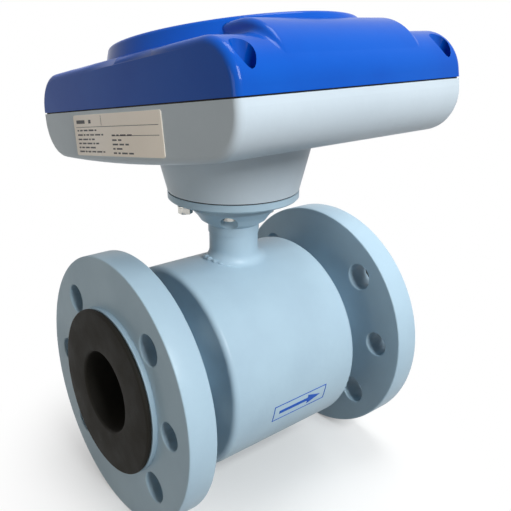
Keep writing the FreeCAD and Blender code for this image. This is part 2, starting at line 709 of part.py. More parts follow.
def dome(inset=0.0):
    """Return the cover's round dome: a drafted flank under a shallow crown.

    It is turned about its own axis and then leaned as a whole.
    """
    rim = DOME_DIAMETER / 2 - inset
    crown_radius = (rim ** 2 + DOME_CROWN ** 2) / (2 * DOME_CROWN)
    half = rim / 2
    half_drop = crown_radius - math.sqrt(crown_radius ** 2 - half ** 2)
    low = -DOME_CROWN - DOME_ROOT_DEPTH
    foot = rim + DOME_FLANK_DRAFT * DOME_ROOT_DEPTH
    edges = [
        Part.Arc(
            Vector(0, 0, 0), Vector(half, 0, -half_drop), Vector(rim, 0, -DOME_CROWN)
        ).toShape(),
        Part.LineSegment(Vector(rim, 0, -DOME_CROWN), Vector(foot, 0, low)).toShape(),
        Part.LineSegment(Vector(foot, 0, low), Vector(0, 0, low)).toShape(),
        Part.LineSegment(Vector(0, 0, low), Vector(0, 0, 0)).toShape(),
    ]
    solid = Part.Face(Part.Wire(edges)).revolve(Vector(0, 0, 0), Vector(0, 0, 1), 360)
    if not inset:
        rim_edges = [
            edge for edge in solid.Edges
            if abs(edge.BoundBox.ZMax + DOME_CROWN) < TOUCH and edge.BoundBox.ZLength < TOUCH
        ]
        solid = solid.makeFillet(DOME_EDGE_RADIUS, rim_edges)
    solid = raked(solid, BAND_RAKE)
    solid.translate(Vector(0, -DOME_SETBACK, DOME_RIM_HEIGHT + DOME_CROWN - inset))
    return solid


def cover_form():
    """Return the outside of the cover as one solid, with the band's foot filleted."""
    pads = raked(rounded_barrel(PADS, 1, END_EDGE_RADIUS), PAD_RAKE)
    band = raked(rounded_barrel(BAND, 1, BAND_EDGE_RADIUS), BAND_RAKE)
    form = pads.fuse(band).removeSplitter().fuse(dome()).removeSplitter()
    front = -DOME_SETBACK - DOME_DIAMETER / 3
    foot = [
        edge for edge in meeting_edges(form, pads, band) if edge.BoundBox.YMax < front
    ]
    return form.makeFillet(BAND_FOOT_FILLET, foot)


def make_cover():
    """Return the cover: pads at the corners, a raised band and a dome, all hollow."""
    outer = cover_form()
    wall = HOUSING_WALL
    hollows = [
        raked(half_barrel(PADS, 1, wall), PAD_RAKE),
        raked(half_barrel(BAND, 1, wall), BAND_RAKE),
        dome(wall),
    ]
    cover = outer.cut(hollows)
    sleeves = [
        upright(POCKET_DIAMETER / 2 + wall, spot, 0, BIG).common(outer)
        for spot in screw_spots()
    ]
    cover = cover.fuse(sleeves)
    below = Vector(-BIG / 2, -BIG / 2, COVER_GASKET_THICKNESS - BIG)
    tools = [Part.makeBox(BIG, BIG, BIG, below)]
    for spot in screw_spots():
        tools.append(upright(POCKET_DIAMETER / 2, spot, POCKET_FLOOR, BIG))
        tools.append(upright(COVER_SCREW_DIAMETER / 2 + SCREW_CLEARANCE, spot, 0, POCKET_FLOOR))
    return lean(cover.cut(tools).removeSplitter())


def make_cover_gasket():
    """Return the gasket that the cover carries round its rim."""
    slabs = []
    for inset in (COVER_GASKET_INSET, COVER_GASKET_INSET + COVER_GASKET_WIDTH):
        size = (HOUSING_LENGTH - 2 * inset, HOUSING_WIDTH - 2 * inset, COVER_GASKET_THICKNESS)
        slabs.append(rounded_box(size, Vector(0, -HOUSING_SETBACK, 0), COVER_GASKET_CORNER))
    outline, window = slabs
    gasket = outline.cut(window)
    eyes = [
        upright(SCREW_BOSS_DIAMETER / 2, spot, 0, COVER_GASKET_THICKNESS).common(outline)
        for spot in screw_spots()
    ]
    holes = [
        upright(COVER_SCREW_DIAMETER / 2 + SCREW_CLEARANCE, spot, 0, COVER_GASKET_THICKNESS)
        for spot in screw_spots()
    ]
    return lean(gasket.fuse(eyes).removeSplitter().cut(holes))


def make_cover_screw(spot):
    """Return one captive cover screw, sunk in its pocket."""
    top = POCKET_FLOOR + COVER_SCREW_HEAD_HEIGHT
    head = upright(COVER_SCREW_HEAD_DIAMETER / 2, spot, POCKET_FLOOR, top)
    rims = [edge for edge in head.Edges if edge.BoundBox.ZMin > top - TOUCH]
    head = head.makeFillet(SCREW_HEAD_EDGE_RADIUS, rims)
    shank = upright(COVER_SCREW_DIAMETER / 2, spot, -COVER_SCREW_REACH, POCKET_FLOOR)
    low = Vector(spot[0], spot[1], top - COVER_SCREW_HEAD_HEIGHT / 2)
    socket = hexagon(HEX_SOCKET, COVER_SCREW_HEAD_HEIGHT, low, Vector(0, 0, 1))
    return lean(head.fuse(shank).removeSplitter().cut(socket))


# -------------------------------------------------------------- electronics
def make_circuit_board():
    """Return the main board, which stands on the housing's posts."""
    base = Vector(0, -HOUSING_SETBACK, BOARD_LEVEL - BOARD_THICKNESS)
    return lean(rounded_box((BOARD_LENGTH, BOARD_WIDTH, BOARD_THICKNESS), base, BOARD_CORNER))


def make_board_screw(spot):
    """Return one pan-head screw that holds the board to its post."""
    top = BOARD_LEVEL + BOARD_SCREW_HEIGHT
    return lean(upright(BOARD_SCREW_DIAMETER / 2, spot, BOARD_LEVEL, top))


def make_power_module():
    """Return the potted power module on the board."""
    base = Vector(BOARD_LENGTH / 2 - MODULE_LENGTH, -BOARD_WIDTH / 2 + MODULE_WIDTH, BOARD_LEVEL)
    return lean(rounded_box((MODULE_LENGTH, MODULE_WIDTH, MODULE_HEIGHT), base, MODULE_CORNER))


def make_terminal_block():
    """Return the row of terminals beside the cable glands."""
    base = Vector(0, BOARD_WIDTH / 2 - TERMINAL_WIDTH, BOARD_LEVEL)
    size = (TERMINAL_LENGTH, TERMINAL_WIDTH, TERMINAL_HEIGHT)
    block = rounded_box(size, base, TERMINAL_CORNER)
    pitch = TERMINAL_LENGTH / TERMINAL_POLES
    front = base.y + TERMINAL_WIDTH / 2
    top = BOARD_LEVEL + TERMINAL_HEIGHT
    mouth_level = BOARD_LEVEL + TERMINAL_MOUTH_LEVEL
    tools = []
    for pole in range(TERMINAL_POLES):
        along = (pole + 0.5) * pitch - TERMINAL_LENGTH / 2
        mouth = Vector(along - pitch / 3, front - TERMINAL_MOUTH_DEPTH, mouth_level)
        tools.append(Part.makeBox(pitch * 2 / 3, BIG, TERMINAL_MOUTH_HEIGHT, mouth))
        well = (along, base.y - TERMINAL_WELL_SETBACK)
        tools.append(upright(pitch / 3, well, top - TERMINAL_WELL_DEPTH, top))
    return lean(block.cut(tools))


# ------------------------------------------------------------- cable glands
def make_cable_gland(side):
    """Return one cable gland: thread, hexagon and domed clamping cap."""
    axis = Vector(0, 1, 0)
    thread = rod(GLAND_THREAD_DIAMETER / 2, gland_point(side, -GLAND_THREAD_LENGTH), gland_point(side, 0))
    body = hexagon(GLAND_ACROSS_FLATS, GLAND_HEX_LENGTH, gland_point(side, 0), axis)
    cap_start = gland_point(side, GLAND_HEX_LENGTH)
    cap_end = gland_point(side, GLAND_HEX_LENGTH + GLAND_CAP_LENGTH)
    cap = rod(GLAND_CAP_DIAMETER / 2, cap_start, cap_end)
    rim = [edge for edge in cap.Edges if edge.BoundBox.YMin > cap_end.y - TOUCH]
    cap = cap.makeFillet(GLAND_CAP_EDGE_RADIUS, rim)
    gland = thread.fuse([body, cap]).removeSplitter()
    bore = rod(GLAND_MOUTH_DIAMETER / 2, gland_point(side, -BIG), gland_point(side, BIG))
    return lean(gland.cut(bore))


def make_gland_plug(side):
    """Return the plug that closes a cable gland not yet in use."""
    end = GLAND_HEX_LENGTH + GLAND_CAP_LENGTH
    start = gland_point(side, end - GLAND_PLUG_LENGTH)
    return lean(rod(GLAND_MOUTH_DIAMETER / 2, start, gland_point(side, end - GLAND_PLUG_RECESS)))


def make_rating_plate():
    """Return the bare plate on the end of the lower housing."""
    base = Vector(0, 0, 0)
    plate = rounded_box((PLATE_HEIGHT, PLATE_LENGTH, PLATE_THICKNESS), base, PLATE_CORNER)
    plate.rotate(Vector(0, 0, 0), Vector(0, 1, 0), -90)
    face = -HOUSING_LENGTH / 2
    middle = -PLATE_BELOW_JOINT - PLATE_HEIGHT / 2
    plate.translate(Vector(face, PLATE_OFFSET - HOUSING_SETBACK, middle))
    return lean(plate)


# ------------------------------------------------------------------- export
def all_pieces():
    """Return every piece of the flow meter by its node name."""
    inlet_flange = make_inlet_flange()
    inlet_plate = make_inlet_end_plate()
    upper_pole = make_upper_pole()
    upper_coil = make_upper_coil()
    under = (Vector(0, 0, 0), Vector(0, 0, 1))
    pieces = {
        "liner": make_liner(),
        "measuring_tube": make_measuring_tube(),
        "inlet_flange": inlet_flange,
        "outlet_flange": mirrored_x(inlet_flange),
        "coil_housing_shell": make_shell(),
        "inlet_end_plate": inlet_plate,
        "outlet_end_plate": mirrored_x(inlet_plate),
        "upper_pole": upper_pole,
        "lower_pole": upper_pole.mirror(*under),
        "upper_coil": upper_coil,
        "lower_coil": upper_coil.mirror(*under),
        "return_yoke": make_return_yoke(),
        "neck": make_neck(),
        "neck_collar": make_collar(),
        "base_ring": make_base_ring(),
        "ring_gasket": make_ring_gasket(),
        "earth_screw": make_earth_screw(),
        "lower_housing": make_lower_housing(),
        "cover": make_cover(),
        "cover_gasket": make_cover_gasket(),
        "circuit_board": make_circuit_board(),
        "power_module": make_power_module(),
        "terminal_block": make_terminal_block(),
        "rating_plate": make_rating_plate(),
    }
    for name, side in (("left", -1), ("right", 1)):
        pieces[name + "_electrode"] = make_electrode(side)
        pieces[name + "_insulator"] = make_insulator(side)
    for number, degrees in enumerate(BOLT_ANGLES, 1):
        pieces["neck_screw_%d" % number] = make_neck_screw(degrees)
    for number, spot in enumerate(screw_spots(), 1):
        pieces["cover_screw_%d" % number] = make_cover_screw(spot)
    for number, spot in enumerate(board_spots(), 1):
        pieces["board_screw_%d" % number] = make_board_screw(spot)
    for number, side in enumerate((-1, 1), 1):
        pieces["cable_gland_%d" % number] = make_cable_gland(side)
        pieces["gland_plug_%d" % number] = make_gland_plug(side)
    return pieces


def main():
    """Write one STEP file for each piece."""
    os.makedirs("parts", exist_ok=True)
    for name, shape in all_pieces().items():
        if len(shape.Solids) != 1 or not shape.isValid():
            raise ValueError("%s is not one valid solid" % name)
        shape.Solids[0].exportStep("parts/%s.step" % name)
        print("%-20s %12.1f mm3" % (name, shape.Volume))


main()
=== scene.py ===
"""Looks of a flanged electromagnetic flow meter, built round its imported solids.

Every length is in metres, in the frame of the solids: the bore runs along X, the neck
stands along Z, and the converter on it leans over about X.  The solids whose shape is
right keep it and get a finish.  The classes below make the pieces that need more detail
than the solids have, and each piece takes its place from the box of a solid.
"""

import enum
import json
import logging
import math
from dataclasses import dataclass
from typing import Iterable, Iterator, Sequence

import bmesh
import bpy
from mathutils import Matrix, Vector

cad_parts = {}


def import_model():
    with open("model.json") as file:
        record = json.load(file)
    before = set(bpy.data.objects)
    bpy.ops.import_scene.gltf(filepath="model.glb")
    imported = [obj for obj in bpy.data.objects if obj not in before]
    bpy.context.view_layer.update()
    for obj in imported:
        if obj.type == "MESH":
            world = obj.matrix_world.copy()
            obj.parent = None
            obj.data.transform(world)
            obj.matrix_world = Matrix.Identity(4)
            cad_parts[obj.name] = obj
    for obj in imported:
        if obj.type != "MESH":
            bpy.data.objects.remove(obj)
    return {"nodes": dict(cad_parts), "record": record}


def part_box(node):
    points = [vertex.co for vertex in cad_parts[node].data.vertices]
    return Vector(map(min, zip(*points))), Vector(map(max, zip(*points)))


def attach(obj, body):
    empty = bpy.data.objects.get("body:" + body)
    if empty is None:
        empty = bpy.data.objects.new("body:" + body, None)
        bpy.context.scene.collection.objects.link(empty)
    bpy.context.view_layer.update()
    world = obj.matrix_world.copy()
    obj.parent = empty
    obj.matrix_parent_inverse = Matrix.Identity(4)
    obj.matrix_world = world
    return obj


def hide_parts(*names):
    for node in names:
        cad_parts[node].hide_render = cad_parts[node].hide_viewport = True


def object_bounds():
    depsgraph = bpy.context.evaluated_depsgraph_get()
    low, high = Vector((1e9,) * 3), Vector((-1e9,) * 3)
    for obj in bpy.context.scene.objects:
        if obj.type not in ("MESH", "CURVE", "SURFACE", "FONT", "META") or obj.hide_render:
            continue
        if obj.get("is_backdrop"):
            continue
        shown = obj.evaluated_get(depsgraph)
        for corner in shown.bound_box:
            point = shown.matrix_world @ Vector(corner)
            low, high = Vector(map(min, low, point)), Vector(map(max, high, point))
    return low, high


log = logging.getLogger("flow_meter")

Colour = tuple[float, float, float]
Profile = Sequence[tuple[float, float]]
Mesh = bmesh.types.BMesh
Edges = list[bmesh.types.BMEdge]
Socket = bpy.types.NodeSocket
Feeds = dict[str | int, object]

WELD_DISTANCE = 1e-6
HEXAGON = 6


# ------------------------------------------------------------------ colours
def linear(red: int, green: int, blue: int) -> Colour:
    """Turn a colour as a screen shows it into the renderer's linear values.

    Args:
        red: Red from 0 to 255.
        green: Green from 0 to 255.
        blue: Blue from 0 to 255.

    Returns:
        The same colour in linear values from 0 to 1.
    """
    def channel(value: int) -> float:
        """Follow the usual screen curve: straight near black, and a power above that."""
        share = value / 255
        return share / 12.92 if share <= 0.04045 else ((share + 0.055) / 1.055) ** 2.4

    return channel(red), channel(green), channel(blue)


# ------------------------------------------------------- shared node groups
class Blend(enum.Enum):
    """What a mix node blends: its data type, its two inputs and its output by number."""

    VALUE = ("FLOAT", 2, 3, 0)
    COLOUR = ("RGBA", 6, 7, 2)


class NodeTool:
    """Short ways to add and feed nodes in one tree."""

    def __init__(self, tree: bpy.types.NodeTree) -> None:
        """Keep the tree that the nodes go into."""
        self.tree = tree

    def feed(self, node: bpy.types.Node, feeds: Feeds) -> None:
        """Feed a node's inputs.

        Args:
            node: The node.
            feeds: An output of another node or a plain value for each input, which is
                given by its name or its number.
        """
        for key, source in feeds.items():
            if isinstance(source, Socket):
                self.tree.links.new(source, node.inputs[key])
            else:
                node.inputs[key].default_value = source

    def add(self, kind: str, feeds: Feeds | None = None, **settings: object) -> bpy.types.Node:
        """Add a node.

        Args:
            kind: The node's Blender type.
            feeds: What its inputs get, as feed() takes it.
            **settings: The node's own settings.

        Returns:
            The new node.
        """
        node = self.tree.nodes.new(kind)
        for key, setting in settings.items():
            setattr(node, key, setting)
        self.feed(node, feeds or {})
        return node

    def noise(self, scale: Socket, detail: float, roughness: float) -> Socket:
        """Add noise on the object's own coordinates.

        Args:
            scale: The output that sets how fine it is.
            detail: How many finer layers lie on it.
            roughness: How much those layers count.

        Returns:
            The noise, from 0 to 1.
        """
        place = self.add("ShaderNodeTexCoord").outputs["Object"]
        feeds = {"Vector": place, "Scale": scale, "Detail": detail, "Roughness": roughness}
        return self.add("ShaderNodeTexNoise", feeds).outputs["Fac"]

    def mix(self, kind: Blend, share: Socket, first: object, second: object) -> Socket:
        """Add a mix of two values or two colours.

        Args:
            kind: What it blends.
            share: The output that says how much the second counts.
            first: An output or a plain value.
            second: Another one.

        Returns:
            The mix.
        """
        data_type, first_input, second_input, output = kind.value
        feeds = {0: share, first_input: first, second_input: second}
        return self.add("ShaderNodeMix", feeds, data_type=data_type).outputs[output]

    def reckon(self, operation: str, first: Socket, second: Socket) -> Socket:
        """Add a sum on two values."""
        return self.add("ShaderNodeMath", {0: first, 1: second}, operation=operation).outputs[0]


def group_tree(name: str, inputs: dict[str, object], outputs: dict[str, str]) -> NodeTool:
    """Start a shader node group with named sockets.

    Args:
        name: The group's name.
        inputs: Each input's name with its usual value: a number or a colour.
        outputs: Each output's name with its socket type.

    Returns:
        A node tool on the new group, which has its input and output nodes.
    """
    tree = bpy.data.node_groups.new(name, "ShaderNodeTree")
    for key, value in inputs.items():
        kind = "NodeSocketFloat" if isinstance(value, float) else "NodeSocketColor"
        socket = tree.interface.new_socket(name=key, in_out="INPUT", socket_type=kind)
        socket.default_value = value
    for key, kind in outputs.items():
        tree.interface.new_socket(name=key, in_out="OUTPUT", socket_type=kind)
    tree.nodes.new("NodeGroupInput")
    tree.nodes.new("NodeGroupOutput")
    return NodeTool(tree)


def uneven_tone_group() -> bpy.types.NodeTree:
    """Build the group that gives a finish its slow changes of tone and gloss.

    Returns:
        A group from two colours and a patch size to a colour and a 0-1 mask.
    """
    inputs = {
        "Tone": (0.5, 0.5, 0.5, 1.0),
        "Second Tone": (0.4, 0.4, 0.4, 1.0),
        "Patches": 30.0,
        "Specks": 900.0,
        "Speck Share": 0.2,
    }
    outputs = {"Colour": "NodeSocketColor", "Mask": "NodeSocketFloat"}
    tool = group_tree("uneven_tone", inputs, outputs)
    given = tool.tree.nodes["Group Input"].outputs
    patches = tool.noise(given["Patches"], detail=4.0, roughness=0.55)
    specks = tool.noise(given["Specks"], detail=2.0, roughness=0.6)
    spread = tool.add("ShaderNodeMapRange", {"Value": patches, "From Min": 0.35, "From Max": 0.65})
    mask = tool.mix(Blend.VALUE, given["Speck Share"], spread.outputs["Result"], specks)
    colour = tool.mix(Blend.COLOUR, mask, given["Tone"], given["Second Tone"])
    tool.feed(tool.tree.nodes["Group Output"], {"Colour": colour, "Mask": mask})
    return tool.tree


def skin_group() -> bpy.types.NodeTree:
    """Build the group that gives a surface its fine relief.

    Returns:
        A group from two grain sizes and their shares to a height from 0 to 1.
    """
    inputs = {"Coarse": 120.0, "Fine": 900.0, "Fine Share": 0.3}
    tool = group_tree("skin_relief", inputs, {"Height": "NodeSocketFloat"})
    given = tool.tree.nodes["Group Input"].outputs
    coarse = tool.noise(given["Coarse"], detail=1.0, roughness=0.4)
    fine = tool.noise(given["Fine"], detail=2.0, roughness=0.5)
    height = tool.mix(Blend.VALUE, given["Fine Share"], coarse, fine)
    tool.feed(tool.tree.nodes["Group Output"], {"Height": height})
    return tool.tree


class Patterns:
    """The node groups that the finishes share, each built once."""

    def __init__(self) -> None:
        """Build the groups."""
        self.uneven_tone = uneven_tone_group()
        self.skin = skin_group()


# ----------------------------------------------------------------- finishes
@dataclass(frozen=True)
class Finish:
    """A procedural finish: its tones, gloss and relief.

    Attributes:
        name: The material's name.
        tone: The main colour.
        second_tone: The colour of its darker or dustier patches.
        roughness: The least and most roughness, from patch to patch.
        metallic: 1 for bare metal, otherwise 0.
        coat: The weight of a clear glossy layer.
        coat_roughness: How rough that layer is.
        patches: How many patches of tone there are to a metre.
        specks: How many fine specks of tone there are to a metre.
        speck_share: How much the specks count against the patches.
        coarse: How many slow waves of relief there are to a metre.
        fine: How many fine grains of relief there are to a metre.
        fine_share: How much the fine grains count.
        relief: The depth of the relief, in metres.
        specular: The strength of the plain gloss.
    """

    name: str
    tone: Colour
    second_tone: Colour
    roughness: tuple[float, float] = (0.35, 0.45)
    metallic: float = 0.0
    coat: float = 0.0
    coat_roughness: float = 0.05
    patches: float = 25.0
    specks: float = 900.0
    speck_share: float = 0.2
    coarse: float = 160.0
    fine: float = 1200.0
    fine_share: float = 0.3
    relief: float = 0.0002
    specular: float = 0.5

    def build(self, patterns: Patterns) -> bpy.types.Material:
        """Make the material.

        Args:
            patterns: The shared node groups.

        Returns:
            The finished material.
        """
        material = bpy.data.materials.new(self.name)
        material.use_nodes = True
        tool = NodeTool(material.node_tree)
        tone_feeds = {
            "Tone": (*self.tone, 1.0),
            "Second Tone": (*self.second_tone, 1.0),
            "Patches": self.patches,
            "Specks": self.specks,
            "Speck Share": self.speck_share,
        }
        tones = tool.add("ShaderNodeGroup", tone_feeds, node_tree=patterns.uneven_tone)
        smooth, rough = self.roughness
        gloss_feeds = {"Value": tones.outputs["Mask"], "To Min": smooth, "To Max": rough}
        gloss = tool.add("ShaderNodeMapRange", gloss_feeds)
        skin_feeds = {"Coarse": self.coarse, "Fine": self.fine, "Fine Share": self.fine_share}
        skin = tool.add("ShaderNodeGroup", skin_feeds, node_tree=patterns.skin)
        bump_feeds = {"Strength": 1.0, "Distance": self.relief, "Height": skin.outputs["Height"]}
        bump = tool.add("ShaderNodeBump", bump_feeds)
        shader_feeds = {
            "Base Color": tones.outputs["Colour"],
            "Roughness": gloss.outputs["Result"],
            "Normal": bump.outputs["Normal"],
            "Metallic": self.metallic,
            "Specular IOR Level": self.specular,
            "Coat Weight": self.coat,
            "Coat Roughness": self.coat_roughness,
        }
        tool.feed(material.node_tree.nodes["Principled BSDF"], shader_feeds)
        return material


class Slot(enum.Enum):
    """The material slots of the record."""

    TUBE_PAINT = "tube_paint"
    HOUSING_PAINT = "housing_paint"
    COVER_PAINT = "cover_paint"
    LINER = "liner"
    TUBE_STEEL = "tube_steel"
    CORE_STEEL = "core_steel"
    WINDING = "winding"
    GASKET_RUBBER = "gasket_rubber"
    SCREW_STEEL = "screw_steel"
    BOARD_LAMINATE = "board_laminate"
    MODULE_PLASTIC = "module_plastic"
    TERMINAL_PLASTIC = "terminal_plastic"
    PLATE_FOIL = "plate_foil"
    ELECTRODE_METAL = "electrode_metal"
    INSULATOR_PLASTIC = "insulator_plastic"
    GLAND_PLASTIC = "gland_plastic"


FINISHES: dict[Slot, Finish] = {
    Slot.TUBE_PAINT: Finish(
        "blue_grey_paint", linear(172, 197, 212), linear(165, 189, 205), (0.4, 0.5),
        coat=0.1, coat_roughness=0.12, coarse=260.0, fine=1500.0, relief=0.00009,
        specular=0.2,
    ),
    Slot.HOUSING_PAINT: Finish(
        "light_grey_paint", linear(200, 212, 221), linear(194, 206, 215), (0.42, 0.5),
        coat=0.08, coat_roughness=0.2, coarse=300.0, relief=0.00004, specular=0.2,
    ),
    Slot.COVER_PAINT: Finish(
        "gloss_blue_paint", linear(0, 83, 184), linear(0, 76, 176), (0.28, 0.36),
        coat=0.24, coat_roughness=0.03, coarse=220.0, relief=0.00003, specular=0.03,
    ),
    Slot.LINER: Finish(
        "hard_rubber", linear(28, 27, 24), linear(38, 36, 32), (0.55, 0.75),
        patches=70.0, specks=1800.0, speck_share=0.35, fine=2600.0, relief=0.00016,
        specular=0.1,
    ),
    Slot.TUBE_STEEL: Finish(
        "plain_steel", linear(200, 200, 198), linear(180, 180, 178), (0.3, 0.42), metallic=1.0,
    ),
    Slot.CORE_STEEL: Finish(
        "core_steel", linear(120, 120, 122), linear(95, 92, 90), (0.5, 0.65), metallic=1.0,
    ),
    Slot.WINDING: Finish(
        "taped_winding", linear(176, 118, 62), linear(150, 96, 48), (0.45, 0.6), relief=0.0004,
    ),
    Slot.GASKET_RUBBER: Finish(
        "gasket_rubber", linear(20, 22, 26), linear(28, 30, 34), (0.6, 0.75), specular=0.25,
    ),
    Slot.SCREW_STEEL: Finish(
        "bright_steel", linear(206, 205, 200), linear(176, 175, 170), (0.2, 0.34), metallic=1.0,
        relief=0.00005,
    ),
    Slot.BOARD_LAMINATE: Finish(
        "board_laminate", linear(28, 96, 58), linear(22, 82, 50), (0.35, 0.45),
    ),
    Slot.MODULE_PLASTIC: Finish(
        "potting_black", linear(36, 36, 38), linear(44, 44, 46), (0.5, 0.6),
    ),
    Slot.TERMINAL_PLASTIC: Finish(
        "terminal_green", linear(92, 134, 106), linear(84, 124, 98), (0.45, 0.55),
    ),
    Slot.PLATE_FOIL: Finish(
        "plate_foil", linear(250, 240, 226), linear(246, 235, 220), (0.3, 0.4),
        relief=0.00001, specular=0.8,
    ),
    Slot.ELECTRODE_METAL: Finish(
        "electrode_metal", linear(206, 200, 192), linear(190, 184, 176), (0.25, 0.35),
        metallic=1.0,
    ),
    Slot.INSULATOR_PLASTIC: Finish(
        "natural_plastic", linear(226, 222, 210), linear(216, 212, 200), (0.45, 0.55),
    ),
    Slot.GLAND_PLASTIC: Finish(
        "black_polyamide", linear(40, 40, 42), linear(48, 48, 50), (0.42, 0.52), relief=0.0001,
    ),
}


# -------------------------------------------------------- places and boxes
def quarter_turn(axis: str, way: int = 1) -> Matrix:
    """Return a quarter turn about an axis, forwards or, with a way of -1, back."""
    return Matrix.Rotation(way * math.pi / 2, 4, axis)


def raised_by(height: float) -> Matrix:
    """Return a move along Z."""
    return Matrix.Translation((0.0, 0.0, height))


def axis_of(node: str, level: float) -> Matrix:
    """Return the place on the upright middle line of a solid's box, at a level."""
    low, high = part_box(node)
    return Matrix.Translation(((low.x + high.x) / 2, (low.y + high.y) / 2, level))


def corner_radius(across: float) -> float:
    """Return how far a hexagon's corners are from its middle, from its width across flats."""
    return across / math.sqrt(3)


# ---------------------------------------------------- ways to shape a mesh
def loop_edges(verts: Iterable[bmesh.types.BMVert]) -> Edges:
    """List the edges that run between some corners.

    Args:
        verts: The corners.

    Returns:
        The edges that have both ends among them.
    """
    corners = set(verts)
    found = {edge for vert in corners for edge in vert.link_edges}
    return [edge for edge in found if all(vert in corners for vert in edge.verts)]


def corners_in(geometry: Iterable[object]) -> list[bmesh.types.BMVert]:
    """Pick the corners out of what an operator made."""
    return [item for item in geometry if isinstance(item, bmesh.types.BMVert)]


def ring(
    shape: Mesh, radius: float, segments: int, centre: Vector = Vector((0.0, 0.0, 0.0))
) -> Edges:
    """Add a flat ring of edges, square to Z.

    Args:
        shape: The mesh that it goes into.
        radius: The ring's radius.
        segments: How many edges it has.
        centre: Its middle.

    Returns:
        Its edges.
    """
    place = Matrix.Translation(centre)
    made = bmesh.ops.create_circle(shape, segments=segments, radius=radius, matrix=place)
    return loop_edges(made["verts"])


def pull(shape: Mesh, edges: Edges, rise: float, scale: float = 1.0) -> Edges:
    """Draw a ring of edges out into a wall along Z, wider or narrower at its end.

    Args:
        shape: The mesh.
        edges: The ring.
        rise: How far the new ring lies above the old one.
        scale: Its size against the old one, about the Z axis.

    Returns:
        The edges of the new ring.
    """
    verts = corners_in(bmesh.ops.extrude_edge_only(shape, edges=edges)["geom"])
    bmesh.ops.scale(shape, verts=verts, vec=(scale, scale, 1.0))
    bmesh.ops.translate(shape, verts=verts, vec=(0.0, 0.0, rise))
    return loop_edges(verts)


def lift(shape: Mesh, faces: list[bmesh.types.BMFace], rise: float) -> None:
    """Draw faces out along Z, with walls round them.

    Args:
        shape: The mesh.
        faces: The faces.
        rise: How far they move up.
    """
    grown = bmesh.ops.extrude_face_region(shape, geom=faces)["geom"]
    bmesh.ops.translate(shape, verts=corners_in(grown), vec=(0.0, 0.0, rise))


def cap(shape: Mesh, edges: Edges) -> None:
    """Close a ring of edges with one face."""
    bmesh.ops.holes_fill(shape, edges=edges, sides=0)


def bevel(shape: Mesh, edges: Edges, width: float, segments: int) -> None:
    """Round some edges.

    Args:
        shape: The mesh.
        edges: The edges.
        width: How far the rounding reaches from an edge.
        segments: How many faces it has across.
    """
    bmesh.ops.bevel(
        shape, geom=edges, offset=width, offset_type="OFFSET", segments=segments,
        profile=0.5, affect="EDGES", clamp_overlap=True, material=-1,
    )


def soften(shape: Mesh, width: float, segments: int = 3, angle: float = 40.0) -> None:
    """Round every edge that is sharper than an angle.

    Args:
        shape: The mesh, with its faces pointing outwards.
        width: How far the rounding reaches from the edge.
        segments: How many faces it has across.
        angle: The angle between two faces, in degrees.
    """
    limit = math.radians(angle)
    sharp = [
        edge for edge in shape.edges
        if len(edge.link_faces) == 2 and edge.calc_face_angle() > limit
    ]
    bevel(shape, sharp, width, segments)


def turned(profile: Profile, steps: int, closed: bool = False) -> Mesh:
    """Spin a profile about Z.

    Args:
        profile: Corners as (radius, height), in order.
        steps: How many steps the full turn has.
        closed: Whether the last corner joins the first, for a ring.

    Returns:
        The spun shape.
    """
    shape = bmesh.new()
    verts = [shape.verts.new((radius, 0.0, height)) for radius, height in profile]
    pairs = list(zip(verts, verts[1:]))
    if closed:
        pairs.append((verts[-1], verts[0]))
    edges = [shape.edges.new(pair) for pair in pairs]
    bmesh.ops.spin(
        shape, geom=verts + edges, cent=(0, 0, 0), axis=(0, 0, 1), angle=math.tau,
        steps=steps, use_merge=True, use_duplicate=False,
    )
    bmesh.ops.remove_doubles(shape, verts=shape.verts, dist=WELD_DISTANCE)
    bmesh.ops.recalc_face_normals(shape, faces=shape.faces)
    return shape


def sleeve(inner: float, outer: float, start: float, end: float, steps: int) -> Mesh:
    """Make a ring of rectangular section about Z.

    Args:
        inner: Its inner radius.
        outer: Its outer radius.
        start: The height of one end.
        end: The height of the other.
        steps: How many steps the full turn has.

    Returns:
        The closed ring.
    """
    corners = [(inner, start), (outer, start), (outer, end), (inner, end)]
    return turned(corners, steps, closed=True)


def prism(radius: float, sides: int, rise: float) -> Mesh:
    """Make an upright prism about Z.

    Args:
        radius: How far its corners are from the axis.
        sides: How many sides it has.
        rise: The height of its other end, from the one at height 0.

    Returns:
        The closed prism.
    """
    shape = bmesh.new()
    rim = ring(shape, radius, sides)
    cap(shape, rim)
    cap(shape, pull(shape, rim, rise))
    bmesh.ops.recalc_face_normals(shape, faces=shape.faces)
    return shape


def panel(length: float, height: float, thickness: float) -> Mesh:
    """Make a thin flat panel in the XY plane.

    Args:
        length: Its size along X.
        height: Its size along Y.
        thickness: Its thickness, up from height 0.

    Returns:
        The closed panel.
    """
    shape = bmesh.new()
    bmesh.ops.create_grid(shape, x_segments=1, y_segments=1, size=0.5)
    bmesh.ops.scale(shape, verts=shape.verts, vec=(length, height, 1.0))
    lift(shape, shape.faces[:], thickness)
    bmesh.ops.recalc_face_normals(shape, faces=shape.faces)
    return shape


def press_in(
    shape: Mesh, radius: float, steps: int, every: int, share: float, first: int = 0
) -> None:
    """Press in some of the corners of a round side, evenly round it.

    Args:
        shape: The mesh, about Z.
        radius: The side's radius.
        steps: How many corners there are round it.
        every: How many corners it is from one that is pressed in to the next.
        share: How far out such a corner stays, as a share.
        first: Which corner is the first, counted from the X axis.
    """
    for vert in shape.verts:
        out = math.hypot(vert.co.x, vert.co.y)
        place = round(math.atan2(vert.co.y, vert.co.x) / math.tau * steps)
        if abs(out - radius) < WELD_DISTANCE and (place - first) % every == 0:
            vert.co.x *= share
            vert.co.y *= share


